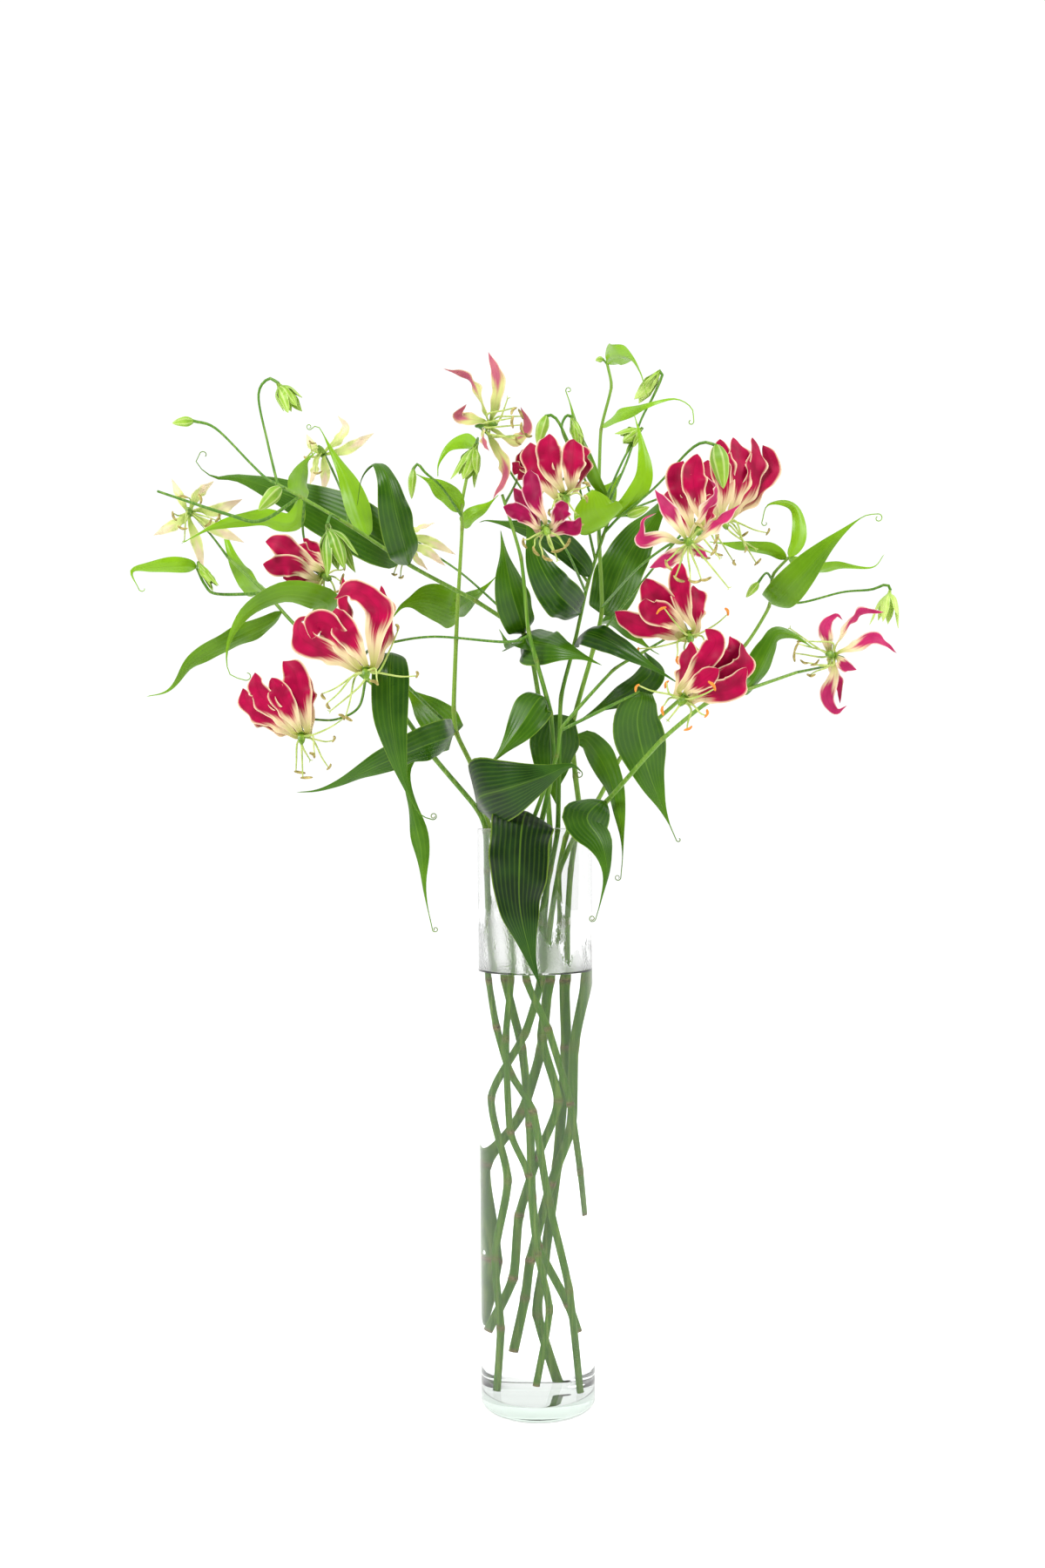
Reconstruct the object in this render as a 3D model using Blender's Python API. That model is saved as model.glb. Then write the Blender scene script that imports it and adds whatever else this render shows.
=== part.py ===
"""Flame lily stems in a tall clear cylinder vase, standing in water. Metres, +Z up, -Y is the front.

The plants are drawn on an upright grid through the vase's axis, as an eye in front of the vase's rim sees them.
A place on a plant is (column, row, depth): columns count to the right, rows count down, and depth is in
millimetres behind the axis. Each leafy stem is one solid with its leaves, stalks and buds. Each flower is two
solids: its six tepals on their collar, and its heart of ovary, style and stamens.
"""
import math

import bmesh
import bpy
from mathutils import Matrix, Vector

# Vase and water
VASE_HEIGHT = 0.500
VASE_RADIUS = 0.050
WALL = 0.003
FLOOR_THICKNESS = 0.012
EDGE_ROUND = 0.003
WATER_TOP = 0.378
VASE_SIDES = 28
GAP = 0.0003

# The drawing grid: the eye, the size of one step, where the axis and the rim lie, and how far the grid leans
EYE = Vector((-0.0105, -1.190, 0.500))
GRID_STEP = 0.000763
AXIS_COLUMN = 614
RIM_ROW = 951
LEAN = 0.0068
MM = 0.001

# How much further the plants spread to the back and to the front than the grid's depths, once clear of the rim
BACK_SPREAD = 2.1
FRONT_SPREAD = 1.2
SPREAD_ROWS = 160

# A loose body of more points than this is no scrap from a union, and is reported
SCRAP_POINTS = 12

# Plants
STEM_RADIUS = 0.0027
STANDS_WITHIN = 0.004
STEM_TIP_RADIUS = 0.0013
SHOOT_RADIUS = 0.00144
STALK_RADIUS = 0.0012
STEM_SIDES = 5
STALK_SIDES = 3
BUD_SIDES = 4
OPEN_BUD_SIDES = 3
LEAF_THICKNESS = 0.0009
TEPAL_THICKNESS = 0.0009
TENDRIL_WIDTH = 0.0013
TEPAL_RIPPLE = 0.0014
TEPAL_FOLD = 0.15
TEPAL_FOOT_REACH = 0.007
TEPAL_FOOT_LIFT = 0.0005
LEAF_RIPPLE = 0.0011
COLLAR_RADIUS = 0.0036
COLLAR_HEIGHT = 0.0030
KNOB_RADIUS = 0.0018
KNOB_LENGTH = 0.009
KNOB_GAP = 0.0005
OVARY_RADIUS = 0.0029
OVARY_LENGTH = 0.0095
FILAMENT_RADIUS = 0.0006
FILAMENT_FOOT = 0.0032
FILAMENT_BEND = (0.004, 0.010)
ANTHER_LENGTH = 0.0095
ANTHER_RADIUS = 0.0011
STYLE_RADIUS = 0.0006
ROOT_DEPTH = 0.001

# Breadth of a blade or tepal at each fraction of its length
LEAF_SHAPE = ((0.0, 0.0), (0.14, 0.80), (0.34, 1.0), (0.58, 0.76), (0.81, 0.18), (1.0, 0.0))
CURLED_LEAF_SHAPE = (
    (0.0, 0.0), (0.11, 0.76), (0.27, 1.0), (0.44, 0.90), (0.62, 0.50), (0.77, 0.16), (0.90, 0.0), (1.0, 0.0),
)
CURLED_FROM = 7
WIDEST = 2
SPAN_STEPS = 8
TEPAL_SHAPE = ((0.0, 0.0), (0.24, 0.44), (0.54, 0.92), (0.80, 0.90), (1.0, 0.0))
OVARY_SHAPE = ((0.0, 0.95), (0.4, 1.0), (1.0, 0.45))
BUD_SHAPE = ((0.0, 0.35), (0.30, 1.00), (0.68, 0.75), (1.0, 0.10))

# Each stem from its cut end up: where it is seen through the water, and then in the open air
STEMS = {
    "stem_far_left": (
        (
            (668, 1603, -9), (654, 1476, -9), (630, 1376, -9), (613, 1272, -9), (585, 1228, -9),
            (569, 1178, -9), (558, 1124, -9),
        ),
        (
            (562, 1060, -9), (560, 1000, -9), (559, 953, -10), (549, 929, -14), (497, 868, -25),
            (455, 809, -30), (420, 778, -28), (341, 720, -15), (307, 682, -5), (262, 640, 8),
        ),
    ),
    "stem_left_low": (
        (
            (663, 1524, 6), (652, 1491, 6), (617, 1424, 6), (611, 1369, 6), (609, 1287, 6), (600, 1200, 6),
            (580, 1124, 6),
        ),
        (
            (585, 1060, 6), (572, 1000, 6), (563, 953, 6), (545, 885, 10), (524, 842, 10), (521, 816, 10),
            (524, 734, 10), (526, 692, 10), (531, 607, 8), (530, 580, 4), (538, 540, -2), (549, 508, -8),
        ),
    ),
    "stem_left_tall": (
        (
            (560, 1524, 33), (574, 1440, 33), (560, 1332, 33), (600, 1272, 33), (622, 1202, 33),
            (630, 1124, 33),
        ),
        (
            (625, 1060, 34), (630, 1000, 34), (632, 953, 33), (627, 880, 30), (626, 846, 26),
            (612, 758, 12), (603, 727, 8), (547, 690, 0), (472, 650, -15), (400, 602, -28),
            (345, 570, -28), (319, 556, -26),
        ),
    ),
    "stem_red_left": (
        ((676, 1394, -17), (669, 1343, -17), (656, 1265, -17), (630, 1180, -17), (604, 1124, -17)),
        (
            (604, 1060, -17), (610, 1000, -17), (620, 953, -17), (636, 880, -18), (633, 819, -24),
            (616, 758, -34), (607, 725, -38), (599, 640, -38), (577, 568, -34),
        ),
    ),
    "stem_crown": (
        (
            (570, 1603, -2), (576, 1520, -2), (567, 1439, -2), (585, 1350, -2), (560, 1258, -2),
            (604, 1184, -2), (622, 1124, -2),
        ),
        (
            (620, 1060, -2), (632, 1000, -2), (641, 953, -2), (642, 880, -2), (644, 800, -3),
            (660, 739, -6), (675, 670, -9), (692, 618, -10), (698, 600, -11), (698, 566, -12),
        ),
    ),
    "stem_tall_right": (
        (
            (591, 1543, 20), (604, 1480, 20), (609, 1439, 20), (632, 1354, 20), (656, 1291, 20),
            (658, 1198, 20), (672, 1124, 20),
        ),
        (
            (652, 1060, 20), (656, 1000, 20), (663, 955, 20), (666, 930, 23), (661, 892, 25),
            (656, 836, 25), (682, 744, 23), (692, 702, 21), (688, 615, 26), (688, 554, 28), (690, 493, 28),
            (703, 443, 26), (697, 416, 26),
        ),
    ),
    "stem_mid_right": (
        (
            (616, 1587, -24), (632, 1500, -24), (617, 1435, -24), (608, 1346, -24), (585, 1298, -24),
            (580, 1191, -24), (587, 1124, -24),
        ),
        (
            (588, 1060, -24), (598, 1000, -24), (608, 953, -24), (640, 868, -30), (644, 836, -31),
            (705, 768, -26), (740, 748, -32),
        ),
    ),
    "stem_far_right": (
        (
            (562, 1524, 13), (591, 1461, 13), (596, 1390, 13), (617, 1324, 13), (643, 1261, 13),
            (621, 1187, 13), (632, 1124, 13),
        ),
        (
            (632, 1060, 13), (642, 1000, 12), (662, 957, 10), (683, 933, 2), (697, 920, -8),
            (760, 849, -72), (812, 806, -88), (863, 790, -62), (915, 772, -38),
        ),
    ),
    "stem_right_low": (
        (
            (648, 1603, 28), (616, 1498, 28), (625, 1440, 28), (640, 1330, 28), (650, 1200, 28),
            (648, 1124, 28),
        ),
        (
            (644, 1060, 27), (642, 1000, 27), (650, 962, 27), (658, 945, 28), (684, 924, 35),
            (718, 860, 40), (790, 795, 36), (856, 742, 20), (884, 697, 10), (887, 660, 2), (906, 640, 0),
        ),
    ),
}

# Side shoots: the stem each grows from, and its places from the stem out
SHOOTS = {
    "shoot_to_hanging_leaf": ("stem_left_low", ((519, 842, 8), (466, 785, -30), (448, 758, -56))),
    "shoot_far_left": ("stem_far_left", ((300, 687, -5), (250, 682, 8), (236, 672, 8), (226, 652, 8))),
    "shoot_cut": ("stem_left_tall", ((345, 570, -28), (300, 598, -14), (263, 591, -12), (181, 564, -10))),
    "shoot_to_low_leaf": ("stem_mid_right", ((643, 838, -31), (690, 816, -34), (735, 794, -34))),
}

# Leaves: stem, breadth in mm, roll in degrees, depth of the fold, and the midrib from the stem to the curled tip
LEAVES = {
    "hanging_outside_glass": ("stem_mid_right", 46, 0, 0.12, (
        (611, 944, -25), (606, 932, -44), (600, 946, -62), (597, 985, -66), (597, 1040, -66),
        (608, 1092, -64), (622, 1138, -62),
    )),
    "standing_inside_glass": ("stem_left_low", 20, 10, 0.2, (
        (563, 951, 6), (570, 962, 14), (580, 1000, 20), (582, 1040, 22), (588, 1078, 22),
    )),
    "broad_over_rim": ("stem_far_left", 52, 0, 0.25, (
        (549, 929, -14), (551, 915, -54), (580, 906, -72), (620, 893, -74), (655, 879, -72),
        (668, 886, -70), (664, 893, -70),
    )),
    "pale_down_to_rim": ("stem_red_left", 32, 20, 0.3, (
        (633, 819, -24), (622, 800, -34), (597, 835, -46), (572, 868, -50), (557, 878, -50),
    )),
    "short_into_vase": ("stem_crown", 36, -15, 0.2, (
        (644, 820, -3), (640, 838, 4), (636, 870, 12), (636, 905, 14), (641, 928, 14),
    )),
    "hook_right_of_rim": ("stem_tall_right", 26, 25, 0.3, (
        (657, 850, 25), (674, 850, 20), (697, 885, 2), (710, 930, -8), (715, 975, -10), (713, 1008, -10),
        (708, 1004, -10),
    )),
    "long_outside_glass": ("stem_far_right", 38, 10, 0.25, (
        (697, 920, -8), (699, 924, -30), (687, 948, -52), (700, 985, -58), (697, 1030, -58),
        (684, 1058, -58), (677, 1054, -58),
    )),
    "long_right_of_rim": ("stem_mid_right", 44, 0, 0.2, (
        (735, 794, -34), (738, 800, -36), (732, 830, -32), (743, 880, -22), (760, 925, -18),
        (777, 965, -18), (781, 966, -18),
    )),
    "across_middle_right": ("stem_crown", 23, -20, 0.3, (
        (660, 739, -6), (672, 727, -34), (700, 736, -60), (735, 757, -75), (766, 776, -80),
        (784, 788, -82),
    )),
    "back_to_middle": ("stem_mid_right", 27, 20, 0.3, (
        (740, 748, -32), (748, 772, -14), (722, 794, -2), (690, 812, 2), (663, 829, 2),
    )),
    "folded_right": ("stem_far_right", 24, 35, 0.5, (
        (850, 792, -68), (866, 780, -62), (884, 745, -60), (893, 729, -58), (912, 730, -56),
        (934, 744, -56),
    )),
    "long_far_right": ("stem_right_low", 30, 10, 0.2, (
        (885, 690, 9), (890, 692, -10), (915, 665, -22), (955, 622, -20), (990, 594, -16),
        (1009, 590, -16), (1008, 606, -16),
    )),
    "far_right_tip": ("stem_right_low", 12, 30, 0.3, (
        (906, 640, 0), (934, 655, 14), (962, 650, 22), (1001, 652, 24), (1016, 636, 24),
    )),
    "far_right_hook": ("stem_right_low", 14, 20, 0.2, (
        (906, 640, 0), (917, 620, 2), (917, 590, 4), (905, 578, 4), (882, 580, 2), (875, 600, 2),
    )),
    "far_right_back": ("stem_right_low", 13, -30, 0.3, (
        (904, 642, 0), (885, 632, -4), (850, 627, -10), (814, 622, -14),
    )),
    "top_right_arch": ("stem_tall_right", 22, 30, 0.4, (
        (697, 418, 26), (704, 410, 10), (722, 411, -10), (735, 428, -16), (744, 457, -16),
    )),
    "top_long_right": ("stem_tall_right", 11, -40, 0.2, (
        (692, 490, 28), (712, 477, 8), (745, 465, -14), (775, 458, -20), (794, 468, -22), (797, 484, -22),
    )),
    "top_upright": ("stem_crown", 17, 10, 0.25, (
        (713, 592, -14), (722, 578, -20), (740, 548, -26), (738, 512, -26), (728, 474, -24),
    )),
    "top_curl_left": ("stem_crown", 12, 20, 0.3, (
        (698, 570, -12), (684, 550, -20), (666, 505, -24), (657, 470, -24), (650, 449, -24),
        (655, 456, -24),
    )),
    "crown_broad": ("stem_crown", 31, 0, 0.15, (
        (697, 603, -11), (694, 602, -26), (685, 588, -34), (682, 574, -36), (680, 562, -36),
    )),
    "tall_right_short": ("stem_tall_right", 22, 10, 0.2, (
        (688, 575, 27), (696, 570, 16), (706, 555, 10), (713, 543, 8),
    )),
    "big_right": ("stem_tall_right", 42, 0, 0.15, (
        (690, 705, 21), (698, 694, 30), (720, 640, 38), (752, 592, 40), (785, 549, 40),
    )),
    "middle_left_up": ("stem_left_tall", 33, 15, 0.25, (
        (603, 727, 8), (599, 716, -2), (588, 680, -12), (580, 640, -14), (575, 608, -12),
    )),
    "middle_dark_up": ("stem_crown", 36, 0, 0.25, (
        (668, 705, -8), (660, 700, -28), (636, 676, -58), (616, 638, -64), (608, 600, -64),
        (606, 573, -62),
    )),
    "middle_dark_left": ("stem_crown", 24, -15, 0.2, (
        (676, 662, -9), (668, 648, -20), (636, 620, -30), (600, 606, -26), (562, 598, -20),
        (550, 600, -18),
    )),
    "fold_right_lobe": ("stem_left_tall", 30, -35, 0.5, (
        (603, 727, 8), (612, 737, -14), (636, 742, -34), (666, 752, -42), (692, 764, -44),
    )),
    "fold_left_lobe": ("stem_left_tall", 24, 35, 0.5, (
        (603, 727, 8), (600, 738, -4), (586, 738, -12), (573, 722, -14),
    )),
    "long_hanging_left": ("stem_left_low", 34, 0, 0.2, (
        (448, 758, -56), (450, 750, -66), (448, 775, -78), (450, 830, -82), (462, 890, -82),
        (480, 932, -80), (497, 941, -80), (494, 936, -80),
    )),
    "broad_low_left": ("stem_left_low", 34, 10, 0.2, (
        (524, 842, 10), (514, 836, 16), (490, 812, 22), (470, 794, 22), (456, 784, 20),
    )),
    "long_low_left": ("stem_left_low", 33, -25, 0.3, (
        (521, 842, 9), (516, 846, -30), (488, 856, -52), (440, 876, -60), (375, 905, -56), (340, 910, -54),
    )),
    "thin_to_glass": ("stem_far_left", 17, 30, 0.25, (
        (490, 855, -26), (468, 885, -28), (474, 930, -30), (484, 975, -30), (488, 1025, -30),
        (497, 1068, -30), (501, 1065, -30),
    )),
    "hook_left": ("stem_far_left", 25, -30, 0.3, (
        (352, 728, -17), (376, 700, -40), (366, 688, -54), (325, 683, -56), (285, 702, -52),
        (263, 738, -48), (263, 772, -46), (282, 781, -46),
    )),
    "far_left_down": ("stem_far_left", 20, -30, 0.3, (
        (325, 702, -10), (308, 716, -18), (262, 738, -24), (222, 760, -26), (195, 792, -26),
        (168, 800, -26),
    )),
    "far_left_up": ("stem_far_left", 18, 20, 0.2, (
        (302, 680, -4), (290, 674, 20), (268, 640, 40), (256, 605, 44), (248, 578, 44),
    )),
    "far_left_end": ("stem_far_left", 15, -30, 0.3, (
        (226, 652, 8), (210, 650, 0), (175, 652, -6), (152, 656, -8), (160, 677, -8),
    )),
    "far_left_pale": ("stem_left_tall", 18, -30, 0.3, (
        (345, 572, -28), (335, 600, -8), (300, 596, 0), (250, 604, -2), (208, 624, -4),
    )),
    "big_left_top": ("stem_left_tall", 48, 0, 0.15, (
        (462, 645, -16), (440, 622, 4), (380, 590, 12), (325, 566, 14), (275, 549, 14), (246, 548, 14),
        (226, 532, 14), (230, 520, 14),
    )),
    "dark_hook_left": ("stem_left_tall", 32, 20, 0.3, (
        (470, 650, -15), (466, 632, -44), (455, 590, -58), (446, 550, -62), (432, 532, -52),
        (416, 548, -40), (410, 582, -36),
    )),
    "curl_top_left": ("stem_left_tall", 22, 15, 0.25, (
        (422, 616, -24), (414, 590, -14), (400, 550, -2), (380, 515, 2), (366, 490, 2), (357, 493, 2),
        (358, 487, 2),
    )),
    "olive_top_left": ("stem_left_tall", 20, 20, 0.3, (
        (345, 572, -28), (344, 556, -10), (350, 532, 6), (364, 518, 12),
    )),
    "young_left_back": ("stem_left_low", 20, -20, 0.25, (
        (530, 588, 6), (516, 570, 0), (498, 556, -8), (478, 544, -12),
    )),
    "young_left_bent": ("stem_left_low", 13, 10, 0.3, (
        (546, 514, -7), (534, 506, 6), (514, 514, 12), (504, 532, 12), (503, 548, 12),
    )),
    "young_left_front": ("stem_left_low", 15, 20, 0.3, (
        (531, 602, 8), (540, 594, 14), (558, 582, 18), (573, 568, 18),
    )),
    "broad_left": ("stem_left_low", 34, -10, 0.15, (
        (526, 702, 10), (516, 698, 22), (490, 690, 30), (465, 694, 32), (452, 708, 32), (441, 724, 32),
    )),
    "slim_left": ("stem_left_low", 18, 20, 0.3, (
        (526, 700, 10), (534, 694, 24), (552, 680, 34), (572, 660, 36),
    )),
    "under_big_right": ("stem_tall_right", 17, 40, 0.3, (
        (688, 715, 22), (704, 712, 36), (725, 728, 40), (748, 746, 40), (758, 752, 40),
    )),
}

# Green buds: stem, breadth in mm, the stalk from the stem to the bud, and the tips of its tepals
BUDS = {
    "top_left_open": (
        "stem_left_tall", 7,
        ((319, 556, -26), (308, 510, -22), (297, 455, -20), (308, 435, -20), (320, 440, -22)),
        ((339, 480, -26), (350, 469, -22), (330, 474, -16)),
    ),
    "top_left_long": (
        "stem_left_tall", 8,
        ((322, 558, -26), (306, 549, -22), (289, 533, -18), (248, 492, -14), (221, 483, -14)),
        ((198, 486, -14),),
    ),
    "half_open_left": (
        "stem_left_tall", 9,
        ((388, 596, -29), (380, 592, -48), (376, 602, -60)),
        ((381, 668, -66), (400, 664, -60), (417, 654, -52), (376, 650, -50)),
    ),
    "left_round": (
        "stem_left_tall", 12,
        ((326, 560, -27), (322, 560, -38)),
        ((297, 586, -42),),
    ),
    "young_drop": (
        "stem_left_low", 7,
        ((528, 592, 7), (508, 560, -20), (489, 543, -24), (480, 533, -24), (474, 540, -24)),
        ((473, 573, -24),),
    ),
    "young_open": (
        "stem_left_low", 9,
        ((548, 510, -8), (549, 503, -22), (547, 510, -32)),
        ((522, 550, -34), (533, 560, -38), (546, 558, -30), (530, 552, -22)),
    ),
    "crown_long": (
        "stem_crown", 10,
        ((690, 622, -10), (678, 567, -32), (648, 497, -46), (636, 478, -46), (626, 478, -46)),
        ((618, 513, -46),),
    ),
    "crown_split": (
        "stem_crown", 10,
        ((665, 535, -39), (646, 496, -34), (650, 478, -32), (658, 479, -32)),
        ((663, 516, -32), (672, 511, -28)),
    ),
    "crown_open": (
        "stem_crown", 7,
        ((698, 568, -12), (716, 528, -6), (732, 500, -4), (738, 491, -4)),
        ((704, 503, -8), (710, 514, -4), (726, 512, 0)),
    ),
    "crown_tall": (
        "stem_crown", 9,
        ((700, 580, -12), (720, 530, 6), (736, 483, 10), (750, 456, 10), (761, 430, 10), (757, 425, 10)),
        ((728, 460, 10), (736, 461, 14)),
    ),
    "tip_tiny": (
        "stem_tall_right", 5,
        ((697, 418, 26), (692, 412, 26)),
        ((684, 414, 26),),
    ),
    "crown_large": (
        "stem_crown", 14,
        (
            (694, 612, -10), (713, 592, -15), (752, 560, -34), (790, 519, -52), (808, 508, -58),
            (824, 512, -62),
        ),
        ((831, 561, -64),),
    ),
    "crown_pale": (
        "stem_crown", 8,
        ((713, 592, -14), (722, 592, -18)),
        ((746, 582, -20),),
    ),
    "far_left_split": (
        "stem_far_left", 8,
        ((226, 652, 8), (228, 646, 0)),
        ((252, 674, -6), (243, 677, -2)),
    ),
    "low_right_short": (
        "stem_right_low", 7,
        ((886, 665, 3), (880, 658, -6), (870, 670, -8)),
        ((857, 686, -8),),
    ),
    "far_right_open": (
        "stem_right_low", 8,
        ((886, 690, 8), (919, 692, 12), (967, 680, 12), (1000, 677, 10), (1018, 671, 8), (1023, 678, 8)),
        ((1006, 719, 6), (1028, 722, 10), (1016, 716, 2)),
    ),
}

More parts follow.
